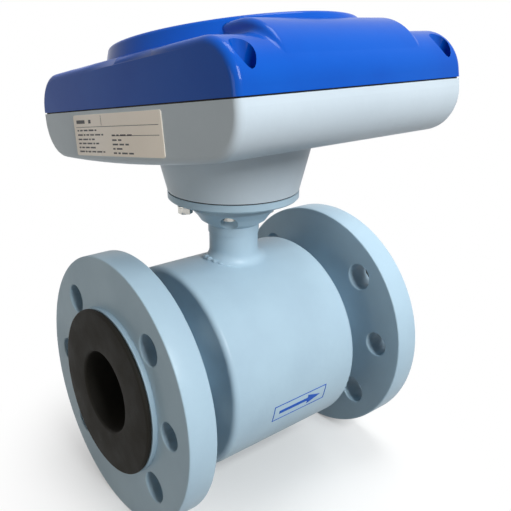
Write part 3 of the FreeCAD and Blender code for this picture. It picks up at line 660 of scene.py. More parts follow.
def merge_into(shape: Mesh, other: Mesh, place: Matrix = Matrix.Identity(4)) -> None:
    """Copy one shape into another.

    Args:
        shape: The mesh that grows.
        other: The mesh that is copied in, and then freed.
        place: Where the copy goes.
    """
    other.transform(place)
    store = bpy.data.meshes.new("store")
    other.to_mesh(store)
    other.free()
    shape.from_mesh(store)
    bpy.data.meshes.remove(store)


def into_scene(name: str, data: bpy.types.ID) -> bpy.types.Object:
    """Put an object into the scene.

    Args:
        name: Its name.
        data: Its mesh, lamp or camera.

    Returns:
        The object.
    """
    item = bpy.data.objects.new(name, data)
    bpy.context.scene.collection.objects.link(item)
    return item


# ---------------------------------------------------------------- workshop
@dataclass(frozen=True)
class Workshop:
    """Turns shapes into finished pieces.

    Attributes:
        materials: The material of each slot.
        nodes: The names of all solids.
    """

    materials: dict[Slot, bpy.types.Material]
    nodes: list[str]

    def named(self, start: str) -> list[str]:
        """Return the names of the solids that start in one way, in order."""
        return sorted(node for node in self.nodes if node.startswith(start))

    def finish(
        self,
        shape: Mesh,
        name: str,
        slot: Slot,
        body: str = "meter",
        stands_for: Sequence[str] = (),
        crease: float = 35.0,
    ) -> None:
        """Make a piece from a shape, and give it its finish and its body.

        Args:
            shape: The shape, in its place; it is freed.
            name: The piece's name.
            slot: The material slot that it takes its finish from.
            body: The body that it rides on.
            stands_for: The solids that it replaces.
            crease: Edges sharper than this angle stay sharp, in degrees.
        """
        bmesh.ops.recalc_face_normals(shape, faces=shape.faces)
        mesh = bpy.data.meshes.new(name)
        shape.to_mesh(mesh)
        shape.free()
        mesh.shade_smooth()
        mesh.set_sharp_from_angle(angle=math.radians(crease))
        mesh.materials.append(self.materials[slot])
        piece = into_scene(name, mesh)
        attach(piece, body)
        if stands_for:
            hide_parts(*stands_for)
        log.info("%s: %d faces on %s", name, len(mesh.polygons), body)


@dataclass
class SubAssembly:
    """A group of pieces that are made together.

    Attributes:
        shop: Where the pieces are finished.
    """

    shop: Workshop


# ------------------------------------------------------------ shared parts
@dataclass(frozen=True)
class WeldBead:
    """A round weld: a bead that swells and narrows along its run.

    Attributes:
        run_radius: The radius of the joint that it covers.
        thickness: The radius of the bead itself.
        ripples: How many ripples the welder left round the joint.
        swell: How much a ripple stands out, as a share of the thickness.
        corners: How many corners the bead's section has.
        ripple_steps: How many steps a ripple is made of.
        wander: How much the slow waves of the bead count against its ripples.
        waves: How many of those slow waves there are.
    """

    run_radius: float
    thickness: float
    ripples: int = 90
    swell: float = 0.1
    corners: int = 10
    ripple_steps: int = 4
    wander: float = 0.6
    waves: int = 7

    def core(self, vert: bmesh.types.BMVert) -> tuple[float, Vector]:
        """Return a corner's angle round the joint, and the middle of the bead there."""
        angle = math.atan2(vert.co.y, vert.co.x)
        return angle, Vector((math.cos(angle), math.sin(angle), 0.0)) * self.run_radius

    def shape(self) -> Mesh:
        """Make the bead about Z.

        Returns:
            The closed bead, with its middle at height 0.
        """
        angles = [math.tau * corner / self.corners for corner in range(self.corners)]
        profile = [
            (self.run_radius + self.thickness * math.cos(angle), self.thickness * math.sin(angle))
            for angle in angles
        ]
        bead = turned(profile, self.ripples * self.ripple_steps, closed=True)
        for vert in bead.verts:
            angle, core = self.core(vert)
            wave = math.cos(self.ripples * angle) + self.wander * math.sin(self.waves * angle)
            vert.co = core + (vert.co - core) * (1.0 + self.swell * wave)
        return bead


@dataclass(frozen=True)
class SocketScrew:
    """A knurled cap screw with a hexagon socket.

    Attributes:
        head_radius: The head's radius.
        head_height: The head's height.
        socket_across: The socket's width across its flats.
        shank_radius: The shank's radius.
        shank_length: The shank's length under the head.
        socket_depth: The socket's depth, as a share of the head's height.
        socket_taper: The socket's width at its floor, as a share.
        corners: How many corners the head has.
        knurl: How far out the knurl's valleys are, as a share of the head's radius.
        edge: The bevel round the head's top.
        crease: Its edges that are sharper than this angle stay sharp, in degrees.
    """

    head_radius: float
    head_height: float
    socket_across: float
    shank_radius: float
    shank_length: float
    socket_depth: float = 0.55
    socket_taper: float = 0.96
    corners: int = 48
    knurl: float = 0.97
    edge: float = 0.0004
    crease: float = 28.0

    def shape(self) -> Mesh:
        """Make the screw about Z.

        Returns:
            The closed screw, with its head's top at height 0.
        """
        shape = bmesh.new()
        rim_scale = 1.0 - self.edge / self.head_radius
        rim = ring(shape, self.head_radius * rim_scale, self.corners)
        socket = ring(shape, corner_radius(self.socket_across), HEXAGON)
        bmesh.ops.bridge_loops(shape, edges=rim + socket)
        cap(shape, pull(shape, socket, -self.head_height * self.socket_depth, self.socket_taper))
        side = pull(shape, rim, -self.edge, 1.0 / rim_scale)
        foot = pull(shape, side, self.edge - self.head_height)
        under = pull(shape, foot, 0.0, self.shank_radius / self.head_radius)
        cap(shape, pull(shape, under, -self.shank_length))
        bmesh.ops.recalc_face_normals(shape, faces=shape.faces)
        press_in(shape, self.head_radius, self.corners, every=2, share=self.knurl, first=1)
        return shape


# --------------------------------------------------------------- flow tube
@dataclass
class FlowTube(SubAssembly):
    """The flanges and the liner.

    Attributes:
        plate_thickness: A flange's thickness without its raised face.
        raised_height: The raised face's height.
        bolt_circle: The radius of the circle that the holes lie on.
        bolt_radius: The radius of a bolt hole.
        side_radius: The radius of the two smaller holes.
        tube_radius: The outside of the steel tube.
        bore_radius: The bore.
        liner_radius: The liner's outside in the tube.
        lip_thickness: The liner's lip over the raised face.
        lip_edge: The rounding of the lip's edges.
        paint_edge: The rounding that the paint gives to an edge.
        paint_thickness: How far the paint stands off the tube.
        support: The width of a band of faces along the plate's rims, for smooth shading.
        bead_size: The radius of the weld beads behind a flange.
        bead_ripples: How many ripples they have.
        recess_radius: The radius of the hollow in the liner round an electrode.
        recess_depth: Its depth.
        station_pitch: The distance between the liner's rings near the electrodes.
        stations: How many such rings there are to each side of the middle.
        rim_steps: How many steps there are round a flange.
        tube_steps: How many steps there are round the tube.
        hole_steps: How many steps there are round a hole.
        liner_steps: How many steps there are round the liner.
    """

    plate_thickness: float = 0.018
    raised_height: float = 0.003
    bolt_circle: float = 0.0625
    bolt_radius: float = 0.009
    side_radius: float = 0.008
    tube_radius: float = 0.030
    bore_radius: float = 0.025
    liner_radius: float = 0.028
    lip_thickness: float = 0.0034
    lip_edge: float = 0.0016
    paint_edge: float = 0.0008
    paint_thickness: float = 0.0003
    support: float = 0.0012
    bead_size: float = 0.0024
    bead_ripples: int = 72
    recess_radius: float = 0.0054
    recess_depth: float = 0.0012
    station_pitch: float = 0.001
    stations: int = 8
    rim_steps: int = 180
    tube_steps: int = 96
    hole_steps: int = 48
    liner_steps: int = 192

    def hole_places(self) -> list[tuple[float, Vector]]:
        """Lay out a flange's holes: bolts on the diagonals, side holes level with the bore.

        Returns:
            Each hole's radius and its place in the flange's plane.
        """
        start = Vector((0.0, self.bolt_circle, 0.0))
        places = []
        for eighth in (0, 1, 3, 4, 5, 7):
            radius = self.bolt_radius if eighth % 2 else self.side_radius
            places.append((radius, Matrix.Rotation(math.tau * eighth / 8, 3, "Z") @ start))
        return places

    def plate(self, rim_radius: float) -> Mesh:
        """Make a flange's plate with all its holes.

        Args:
            rim_radius: The flange's outer radius.

        Returns:
            The closed plate with rounded rims, its face at height 0.
        """
        shape = bmesh.new()
        ring(shape, rim_radius, self.rim_steps)
        ring(shape, self.tube_radius, self.tube_steps)
        for radius, centre in self.hole_places():
            ring(shape, radius, self.hole_steps, centre)
        bmesh.ops.triangle_fill(shape, edges=shape.edges, use_beauty=True)
        bmesh.ops.recalc_face_normals(shape, faces=shape.faces)
        bmesh.ops.inset_region(
            shape, faces=shape.faces, thickness=self.support, use_boundary=True,
            use_even_offset=True,
        )
        bmesh.ops.solidify(shape, geom=shape.faces, thickness=self.plate_thickness)
        bmesh.ops.recalc_face_normals(shape, faces=shape.faces)
        top = max(vert.co.z for vert in shape.verts)
        bmesh.ops.translate(shape, verts=shape.verts, vec=(0.0, 0.0, -top))
        soften(shape, self.paint_edge, angle=60.0)
        return shape

    def raised_face(self, radius: float) -> Mesh:
        """Make the ring that stands out of the plate under the liner's lip.

        Args:
            radius: The ring's outer radius.

        Returns:
            The closed ring, its foot a little inside the plate.
        """
        height = self.raised_height
        shape = sleeve(self.tube_radius, radius, -self.paint_edge, height, self.rim_steps)
        soften(shape, self.paint_edge / 2)
        return shape

    def spigot(self, length: float) -> Mesh:
        """Make the painted stretch of tube behind a flange, with its two welds.

        Args:
            length: From the flange's back to the coil housing.

        Returns:
            The tube's skin and both beads.
        """
        start = -self.plate_thickness
        end = start - length
        outer = self.tube_radius + self.paint_thickness
        shape = sleeve(self.tube_radius, outer, start, end, self.tube_steps)
        bead = WeldBead(outer, self.bead_size, self.bead_ripples)
        for height in (start, end):
            merge_into(shape, bead.shape(), raised_by(height))
        return shape

    def make_flange(self, node: str, way: int, back: float) -> None:
        """Make one flange.

        Args:
            node: The solid that it stands for.
            way: -1 for the inlet, 1 for the outlet.
            back: The distance from the middle to the coil housing's end.
        """
        low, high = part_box(node)
        face = max(abs(low.x), abs(high.x)) - self.raised_height
        shape = self.plate(high.z)
        merge_into(shape, self.raised_face(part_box("liner")[1].z))
        merge_into(shape, self.spigot(face - self.plate_thickness - back))
        shape.transform(Matrix.Translation((way * face, 0.0, 0.0)) @ quarter_turn("Y", way))
        self.shop.finish(shape, node + "_painted", Slot.TUBE_PAINT, stands_for=[node])

    def make_liner(self) -> None:
        """Make the liner, its lips rounded and its bore hollowed round the electrodes."""
        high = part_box("liner")[1]
        end, lip, inner = high.x, high.z, high.x - self.lip_thickness
        near = [self.station_pitch * step for step in range(-self.stations, self.stations + 1)]
        bore = [(self.bore_radius, station) for station in (-end, -end / 2, *near, end / 2, end)]
        outside = [
            (lip, end), (lip, inner), (self.liner_radius, inner),
            (self.liner_radius, -inner), (lip, -inner), (lip, -end),
        ]
        shape = turned(bore + outside, self.liner_steps, closed=True)
        soften(shape, self.lip_edge, segments=4)
        self.hollow_at_electrodes(shape)
        shape.transform(quarter_turn("Y"))
        self.shop.finish(shape, "rubber_liner", Slot.LINER, stands_for=["liner"])

    def hollow_at_electrodes(self, shape: Mesh) -> None:
        """Press the bore's wall back round the two electrodes.

        Args:
            shape: The liner about Z, with the electrodes on the Y axis.
        """
        for vert in shape.verts:
            radius = math.hypot(vert.co.x, vert.co.y)
            on_bore = radius <= self.bore_radius + WELD_DISTANCE
            if on_bore and math.hypot(vert.co.x, vert.co.z) < self.recess_radius:
                share = 1.0 + self.recess_depth / radius
                vert.co.x *= share
                vert.co.y *= share

    def build(self) -> None:
        """Make both flanges and the liner."""
        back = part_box("outlet_end_plate")[1].x
        self.make_flange("inlet_flange", -1, back)
        self.make_flange("outlet_flange", 1, back)
        self.make_liner()


# ------------------------------------------------------------ coil housing
@dataclass
class CoilHousing(SubAssembly):
    """The flow mark, the filled seams and the weld round the neck's foot.

    Attributes:
        mark_middle: The flow mark's middle along the pipe.
        mark_angle: How far below the level of the bore it sits, in degrees.
        frame_size: The mark's frame, long and high.
        line: The width of the frame's line.
        shaft: The arrow's shaft, long and high.
        head: The arrow's head, long and high.
        film: The film's thickness.
        step: The size of the film's faces.
        seam_reach: How far the paint in a seam reaches to each side of it.
        seam_depth: How deep it goes.
        seam_steps: How many steps there are round it.
        neck_bead: The weld at the neck's foot, thickest on the inlet side.
        bead_least: The thinnest that the bead gets, before it is cubed, as a share.
        bead_rise: How high the bead's core lies over the shell.
    """

    mark_middle: float = 0.003
    mark_angle: float = -14.6
    frame_size: tuple[float, float] = (0.0445, 0.012)
    line: float = 0.0006
    shaft: tuple[float, float] = (0.024, 0.0024)
    head: tuple[float, float] = (0.011, 0.0072)
    film: float = 0.00015
    step: float = 0.0012
    seam_reach: float = 0.00095
    seam_depth: float = 0.0012
    seam_steps: int = 180
    neck_bead: WeldBead = WeldBead(0.0195, 0.0017, ripples=26, swell=0.25)
    bead_least: float = 0.3
    bead_rise: float = 0.0004

    def patch(self, start: float, end: float, low: float, high: float) -> Mesh:
        """Make one rectangle of the mark, flat and fine enough to be wrapped.

        Args:
            start: Its left edge.
            end: Its right edge.
            low: Its lower edge.
            high: Its upper edge.

        Returns:
            A grid in the XY plane.
        """
        shape = bmesh.new()
        across = max(1, round((end - start) / self.step))
        upward = max(1, round((high - low) / self.step))
        bmesh.ops.create_grid(shape, x_segments=across, y_segments=upward, size=0.5)
        bmesh.ops.scale(shape, verts=shape.verts, vec=(end - start, high - low, 1.0))
        middle = ((start + end) / 2, (low + high) / 2, 0.0)
        bmesh.ops.translate(shape, verts=shape.verts, vec=middle)
        return shape

    def flow_mark(self) -> Mesh:
        """Make the mark flat: an arrow along X inside a thin frame.

        Returns:
            The mark's faces in the XY plane.
        """
        right, top = self.frame_size[0] / 2, self.frame_size[1] / 2
        inner_right, inner_top = right - self.line, top - self.line
        tail = -(self.shaft[0] + self.head[0]) / 2
        neck = tail + self.shaft[0]
        shaft_top, head_top = self.shaft[1] / 2, self.head[1] / 2
        head = self.patch(neck, neck + self.head[0], -head_top, head_top)
        for vert in head.verts:
            vert.co.y *= 1.0 - (vert.co.x - neck) / self.head[0]
        pieces = [
            self.patch(-right, right, inner_top, top),
            self.patch(-right, right, -top, -inner_top),
            self.patch(-right, -inner_right, -inner_top, inner_top),
            self.patch(inner_right, right, -inner_top, inner_top),
            self.patch(tail, neck, -shaft_top, shaft_top),
            head,
        ]
        shape = bmesh.new()
        for piece in pieces:
            merge_into(shape, piece)
        bmesh.ops.remove_doubles(shape, verts=shape.verts, dist=WELD_DISTANCE)
        bmesh.ops.recalc_face_normals(shape, faces=shape.faces)
        return shape

    def make_flow_mark(self, radius: float) -> None:
        """Wrap the blue flow mark on the shell.

        Args:
            radius: The shell's radius.
        """
        shape = self.flow_mark()
        lift(shape, shape.faces[:], self.film)
        for vert in shape.verts:
            angle = math.radians(self.mark_angle) + vert.co.y / radius
            along, out = self.mark_middle + vert.co.x, radius + vert.co.z
            vert.co = Vector((along, -out * math.cos(angle), out * math.sin(angle)))
        self.shop.finish(shape, "flow_mark", Slot.COVER_PAINT)

    def make_seam(self, name: str, radius: float, seam: float) -> None:
        """Fill the groove between the shell and an end plate, as paint does.

        Args:
            name: The piece's name.
            radius: The shell's radius.
            seam: The groove's place along the pipe.
        """
        reach = self.seam_reach
        corners = [(radius - self.seam_depth, 0.0), (radius, -reach), (radius, reach)]
        shape = turned(corners, self.seam_steps, closed=True)
        shape.transform(Matrix.Translation((seam, 0.0, 0.0)) @ quarter_turn("Y"))
        self.shop.finish(shape, name, Slot.TUBE_PAINT)

    def make_neck_weld(self, radius: float) -> None:
        """Make the lumpy end of the weld, on the inlet side of the neck's foot.

        Args:
            radius: The shell's radius.
        """
        shape = self.neck_bead.shape()
        for vert in shape.verts:
            angle, core = self.neck_bead.core(vert)
            share = max(self.bead_least, -math.cos(angle)) ** 3
            vert.co = core + (vert.co - core) * share
            vert.co.z += math.sqrt(radius ** 2 - core.y ** 2) + self.bead_rise
        self.shop.finish(shape, "neck_weld", Slot.TUBE_PAINT)

    def build(self) -> None:
        """Make the mark, the seams and the weld."""
        low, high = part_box("coil_housing_shell")
        self.make_flow_mark(high.z)
        self.make_seam("inlet_seam", high.z, low.x)
        self.make_seam("outlet_seam", high.z, high.x)
        self.make_neck_weld(high.z)


# -------------------------------------------------------------------- neck
@dataclass
class NeckFastenings(SubAssembly):
    """The screws under the base ring.

    Attributes:
        screw: The cap screw that holds the ring on the collar.
        washer_radius: The radius of its washer.
        washer_thickness: The thickness of its washer.
        earth_across: The earth screw's width across its flats.
        earth_head: The height of its head.
        earth_washer: The thickness of its washer.
        earth_washer_radius: The radius of its washer.
        earth_shank: The radius of its shank.
        edge: The rounding of the earth screw's head, and twice that of a washer.
        washer_steps: How many steps there are round a washer.
        shank_steps: How many steps there are round the shank.
    """

    screw: SocketScrew = SocketScrew(0.00425, 0.0042, 0.004, 0.0025, 0.0095)
    washer_radius: float = 0.0049
    washer_thickness: float = 0.0008
    earth_across: float = 0.008
    earth_head: float = 0.0038
    earth_washer: float = 0.001
    earth_washer_radius: float = 0.00475
    earth_shank: float = 0.0025
    edge: float = 0.0003
    washer_steps: int = 48
    shank_steps: int = 24

    def washer(self, radius: float, hole: float, thickness: float) -> Mesh:
        """Make a washer.

        Args:
            radius: Its outer radius.
            hole: The radius of its hole.
            thickness: Its thickness.

        Returns:
            The closed washer, its top at height 0.
        """
        shape = sleeve(hole, radius, 0.0, -thickness, self.washer_steps)
        soften(shape, self.edge / 2, segments=2)
        return shape

    def make_screw(self, node: str) -> None:
        """Make one cap screw, head down, with a washer under its head.

        Args:
            node: The solid that it stands for.
        """
        shape = self.screw.shape()
        shape.transform(Matrix.Rotation(math.pi, 4, "X"))
        washer = self.washer(self.washer_radius, self.screw.shank_radius, self.washer_thickness)
        merge_into(shape, washer, raised_by(self.screw.head_height + self.washer_thickness))
        shape.transform(axis_of(node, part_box(node)[0].z))
        self.shop.finish(
            shape, node + "_detailed", Slot.SCREW_STEEL, stands_for=[node],
            crease=self.screw.crease,
        )

    def make_earth_screw(self) -> None:
        """Make the hexagon screw that takes the earth lead, with its washer."""
        low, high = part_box("earth_screw")
        under = low.z + self.earth_head
        shape = prism(corner_radius(self.earth_across), HEXAGON, -self.earth_head)
        soften(shape, self.edge, segments=2)
        washer = self.washer(self.earth_washer_radius, self.earth_shank, self.earth_washer)
        merge_into(shape, washer, raised_by(self.earth_washer))
        radius, length = self.earth_shank, high.z - under
        profile = [(0.0, 0.0), (radius, 0.0), (radius, length), (0.0, length)]
        merge_into(shape, turned(profile, self.shank_steps))
        shape.transform(axis_of("earth_screw", under))
        self.shop.finish(
            shape, "earth_screw_detailed", Slot.SCREW_STEEL, stands_for=["earth_screw"]
        )

    def build(self) -> None:
        """Make every screw of the neck."""
        for node in self.shop.named("neck_screw"):
            self.make_screw(node)
        self.make_earth_screw()


# --------------------------------------------------------------- converter
@dataclass(frozen=True)
class BarColumn:
    """A column of printed bars that stand where text would; sizes are shares of the plate's.

    Attributes:
        start: Where its rows start, from the left.
        rows: Each row's level, from the top, and how many bars it has.
        shortest: The length of a shortest bar.
        growth: How much longer each next length is.
        gap: The gap between two bars.
        stride: How the length changes from bar to bar and from row to row.
        phase: Which length comes first.
        lengths: How many different lengths there are.
    """

    start: float
    rows: tuple[tuple[float, int], ...]
    shortest: float
    growth: float
    gap: float
    stride: tuple[int, int]
    phase: int = 0
    lengths: int = 4

    def bars(self) -> Iterator[tuple[float, float, float]]:
        """Lay out the bars.

        Returns:
            Each bar's start, end and level.
        """
        for row, (level, count) in enumerate(self.rows):
            start = self.start
            for bar in range(count):
                step = self.phase + bar * self.stride[0] + row * self.stride[1]
                end = start + self.shortest + self.growth * (step % self.lengths)
                yield start, end, level
                start = end + self.gap


@dataclass(frozen=True)
class RatingPlate:
    """A bare plate with ruled lines and plain bars, and no lettering.

    Attributes:
        size: Its length and height.
        thickness: Its thickness.
        corner: The radius of its corners.
        edge: The rounding of its front edge.
        rule: The width of a ruled line.
        print_height: How far the print stands off the plate.
        rules: Each ruled line's start, end and level, as shares of the plate's size.
        headings: The same for the two thick bars at its top.
        divider: The upright line's place from the left and the top, and its height.
        columns: The columns of bars.
        bar_rules: How many ruled lines wide a bar of a column is.
        heading_rules: How many ruled lines wide a heading is.
    """

    size: tuple[float, float] = (0.102, 0.0242)
    thickness: float = 0.0006
    corner: float = 0.0015
    edge: float = 0.00015
    rule: float = 0.0003
    print_height: float = 0.00004
    rules: tuple[tuple[float, float, float], ...] = ((0.03, 0.97, 0.30), (0.48, 0.97, 0.52))
    headings: tuple[tuple[float, float, float], ...] = ((0.04, 0.15, 0.17), (0.20, 0.23, 0.17))
    divider: tuple[float, float, float] = (0.36, 0.15, 0.24)
    columns: tuple[BarColumn, ...] = (
        BarColumn(
            0.04, ((0.38, 5), (0.49, 6), (0.60, 4), (0.70, 5), (0.80, 4), (0.90, 6)),
            shortest=0.022, growth=0.014, gap=0.014, stride=(5, 3),
        ),
        BarColumn(
            0.47, ((0.51, 4), (0.62, 2), (0.72, 3), (0.82, 2), (0.92, 4)),
            shortest=0.026, growth=0.012, gap=0.016, stride=(3, 1), phase=1,
        ),
    )
    bar_rules: float = 3.0
    heading_rules: float = 7.0

    def blank(self) -> Mesh:
        """Make the bare plate with its rounded corners.

        Returns:
            The closed plate in the XY plane, its back at height 0.
        """
        shape = panel(*self.size, self.thickness)
        half = self.thickness / 2
        upright = [
            edge for edge in shape.edges
            if abs(edge.verts[0].co.z - edge.verts[1].co.z) > half
        ]
        bevel(shape, upright, self.corner, segments=5)
        front = [edge for edge in shape.edges if all(vert.co.z > half for vert in edge.verts)]
        bevel(shape, front, self.edge, segments=2)
        return shape

    def add_bar(self, shape: Mesh, across: float, level: float, size: tuple[float, float]) -> None:
        """Add one printed bar.

        Args:
            shape: The print that it goes into.
            across: Its middle from the plate's left, as a share of the length.
            level: Its middle from the plate's top, as a share of the height.
            size: Its length and height.
        """
        length, height = self.size
        middle = ((across - 0.5) * length, (0.5 - level) * height, 0.0)
        merge_into(shape, panel(*size, self.print_height), Matrix.Translation(middle))

    def printing(self) -> Mesh:
        """Make the print.

        Returns:
            Its lines and bars in the XY plane, their backs at height 0.
        """
        length, height = self.size
        shape = bmesh.new()
        across, level, share = self.divider
        self.add_bar(shape, across, level, (self.rule, share * height))
        text = [bar for column in self.columns for bar in column.bars()]
        kinds = ((1.0, self.rules), (self.bar_rules, text), (self.heading_rules, self.headings))
        for rules, bars in kinds:
            for start, end, level in bars:
                size = ((end - start) * length, self.rule * rules)
                self.add_bar(shape, (start + end) / 2, level, size)
        return shape


@dataclass(frozen=True)
class Gland:
    """A cable gland: a hexagon and a clamping cap with grip ribs and an open mouth.

    Attributes:
        across: The hexagon's width across its flats.
        hexagon: The hexagon's height.
        cap_radius: The cap's radius.
        cap_length: The cap's length.
        mouth: The radius of its mouth.
        outline: The cap's outline, as shares of its radius and length.
        ribs: How many ribs it has.
        rib_steps: How many steps a rib and its groove are made of.
        groove: How far out the grooves between the ribs are, as a share of the radius.
        edge: The rounding of the hexagon's edges.
        setback: How far the gland stays behind its solid's end.
        crease: Its edges that are sharper than this angle stay sharp, in degrees.
    """

    across: float = 0.024
    hexagon: float = 0.006
    cap_radius: float = 0.0115
    cap_length: float = 0.014
    mouth: float = 0.0065
    outline: Profile = (
        (1.0, 0.0), (1.0, 0.31), (1.0, 0.62), (0.97, 0.76), (0.88, 0.9), (0.74, 1.0),
    )
    ribs: int = 24
    rib_steps: int = 4
    groove: float = 0.94
    edge: float = 0.0006
    setback: float = 0.0003
    crease: float = 30.0

    def shape(self) -> Mesh:
        """Make the gland about Z.

        Returns:
            The hexagon, from height 0, and the cap on it.
        """
        shape = prism(corner_radius(self.across), HEXAGON, self.hexagon)
        soften(shape, self.edge, segments=2)
        side = [(out * self.cap_radius, up * self.cap_length) for out, up in self.outline]
        profile = [(self.mouth, 0.0), *side, (self.mouth, self.cap_length)]
        steps = self.ribs * self.rib_steps
        clamp = turned(profile, steps, closed=True)
        press_in(clamp, self.cap_radius, steps, every=self.rib_steps, share=self.groove)
        merge_into(shape, clamp, raised_by(self.hexagon))
        return shape


class Way(enum.IntEnum):
    """The converter's own axes: along the pipe, across it, and out of the lid."""

    ALONG = 0
    ACROSS = 1
    OUT = 2


@dataclass
class Converter(SubAssembly):
    """The fastenings, the rating plate and the cable glands of the leaning converter.

    Attributes:
        lean: How far it leans over the pipe, in degrees.
        joint_height: The height of the joint that it leans about.
        screw: A cover screw.
        plate: The rating plate.
        gland: A cable gland.
    """

    lean: float = 8.0
    joint_height: float = 0.1687
    screw: SocketScrew = SocketScrew(0.0045, 0.004, 0.004, 0.0025, 0.0158)
    plate: RatingPlate = RatingPlate()
    gland: Gland = Gland()

    def place(self) -> Matrix:
        """Return the converter's own frame."""
        return raised_by(self.joint_height) @ Matrix.Rotation(math.radians(-self.lean), 4, "X")

    def own_box(self, node: str) -> tuple[Vector, Vector]:
        """Find a solid's box along the converter's own axes.

        Args:
            node: The solid.

        Returns:
            The box's low and high corners, in the converter's frame.
        """
        back = self.place().inverted()
        points = [back @ vert.co for vert in bpy.data.objects[node].data.vertices]
        low = Vector([min(point[way] for point in points) for way in Way])
        high = Vector([max(point[way] for point in points) for way in Way])
        return low, high

    def end_of(self, node: str, way: Way) -> Vector:
        """Find the middle of a solid's far end along one of the converter's own axes.

        Args:
            node: The solid.
            way: The axis.

        Returns:
            The middle of that end, in the converter's frame.
        """
        low, high = self.own_box(node)
        seat = (low + high) / 2
        seat[way] = high[way]
        return seat

    def make_cover_screw(self, node: str) -> None:
        """Make one captive cover screw, sunk in its pocket.

        Args:
            node: The solid that it stands for.
        """
        shape = self.screw.shape()
        shape.transform(self.place() @ Matrix.Translation(self.end_of(node, Way.OUT)))
        self.shop.finish(
            shape, node + "_detailed", Slot.SCREW_STEEL, body="cover", stands_for=[node],
            crease=self.screw.crease,
        )

    def make_rating_plate(self) -> None:
        """Make the plate and its print on the housing's end."""
        seat = Matrix.Translation(self.end_of("rating_plate", Way.ALONG))
        place = self.place() @ seat @ quarter_turn("Y", -1) @ quarter_turn("Z", -1)
        blank = self.plate.blank()
        blank.transform(place)
        self.shop.finish(blank, "rating_plate_foil", Slot.PLATE_FOIL, stands_for=["rating_plate"])
        bars = self.plate.printing()
        bars.transform(place @ raised_by(self.plate.thickness))
        self.shop.finish(bars, "rating_plate_bars", Slot.MODULE_PLASTIC)

    def make_gland(self, node: str) -> None:
        """Make one cable gland.

        Args:
            node: The solid that it stands for.
        """
        start = self.end_of(node, Way.ACROSS)
        start.y -= self.gland.hexagon + self.gland.cap_length + self.gland.setback
        shape = self.gland.shape()
        shape.transform(self.place() @ Matrix.Translation(start) @ quarter_turn("X", -1))
        self.shop.finish(
            shape, node + "_ribbed", Slot.GLAND_PLASTIC, stands_for=[node],
            crease=self.gland.crease,
        )

    def build(self) -> None:
        """Make the converter's glands, screws and plate."""
        for node in self.shop.named("cable_gland"):
            self.make_gland(node)
        for node in self.shop.named("cover_screw"):
            self.make_cover_screw(node)
        self.make_rating_plate()


# ------------------------------------------------------------- electronics
@dataclass(frozen=True)
class Chip:
    """A chip on the board, with legs along its two long sides.

    Attributes:
        middle: Its place from the board's middle.
        size: Its length, width and height.
        legs: How many legs each side has.
    """

    middle: tuple[float, float]
    size: tuple[float, float, float]
    legs: int


@dataclass(frozen=True)
class Can:
    """A capacitor on the board: a can with a crimped foot.

    Attributes:
        middle: Its place from the board's middle.
        radius: Its radius.
        height: Its height.
        crimp: Where the crimp starts, is deepest and ends, as shares of the height.
        waist: How far out its deepest place is, as a share of the radius.
        edge: The bevel round the can's top.
        steps: How many steps there are round it.
    """

    middle: tuple[float, float]
    radius: float
    height: float
    crimp: tuple[float, float, float] = (0.1, 0.16, 0.22)
    waist: float = 0.92
    edge: float = 0.0006
    steps: int = 32

    def shape(self) -> Mesh:
        """Make the can about Z.

        Returns:
            The closed can, its foot at height 0.
        """
        start, deepest, end = (share * self.height for share in self.crimp)
        radius, height = self.radius, self.height
        profile = [
            (0.0, 0.0), (radius, 0.0), (radius, start), (radius * self.waist, deepest),
            (radius, end), (radius, height - self.edge), (radius - self.edge, height),
            (0.0, height),
        ]
        return turned(profile, self.steps)


@dataclass(frozen=True)
class SlottedHead:
    """The head of a slotted screw.

    Attributes:
        radius: Its radius.
        height: Its height.
        slot_width: The slot's width.
        slot_depth: The slot's depth.
        steps: How many steps there are round it.
        crease: Its edges that are sharper than this angle stay sharp, in degrees.
    """

    radius: float = 0.0021
    height: float = 0.0012
    slot_width: float = 0.000735
    slot_depth: float = 0.00084
    steps: int = 24
    crease: float = 28.0

    def shape(self) -> Mesh:
        """Make the head about Z.

        Returns:
            The head, its top at height 0 and its slot along X.
        """
        shape = prism(self.radius, self.steps, -self.height)
        side = self.slot_width / 2
        for level in (-side, side):
            geometry = shape.verts[:] + shape.edges[:] + shape.faces[:]
            bmesh.ops.bisect_plane(shape, geom=geometry, plane_co=(0, level, 0), plane_no=(0, 1, 0))
        middles = {face: face.calc_center_median() for face in shape.faces}
        strip = [
            face for face, middle in middles.items()
            if middle.z > -WELD_DISTANCE and abs(middle.y) < side
        ]
        lift(shape, strip, -self.slot_depth)
        bmesh.ops.delete(shape, geom=strip, context="FACES_ONLY")
        return shape


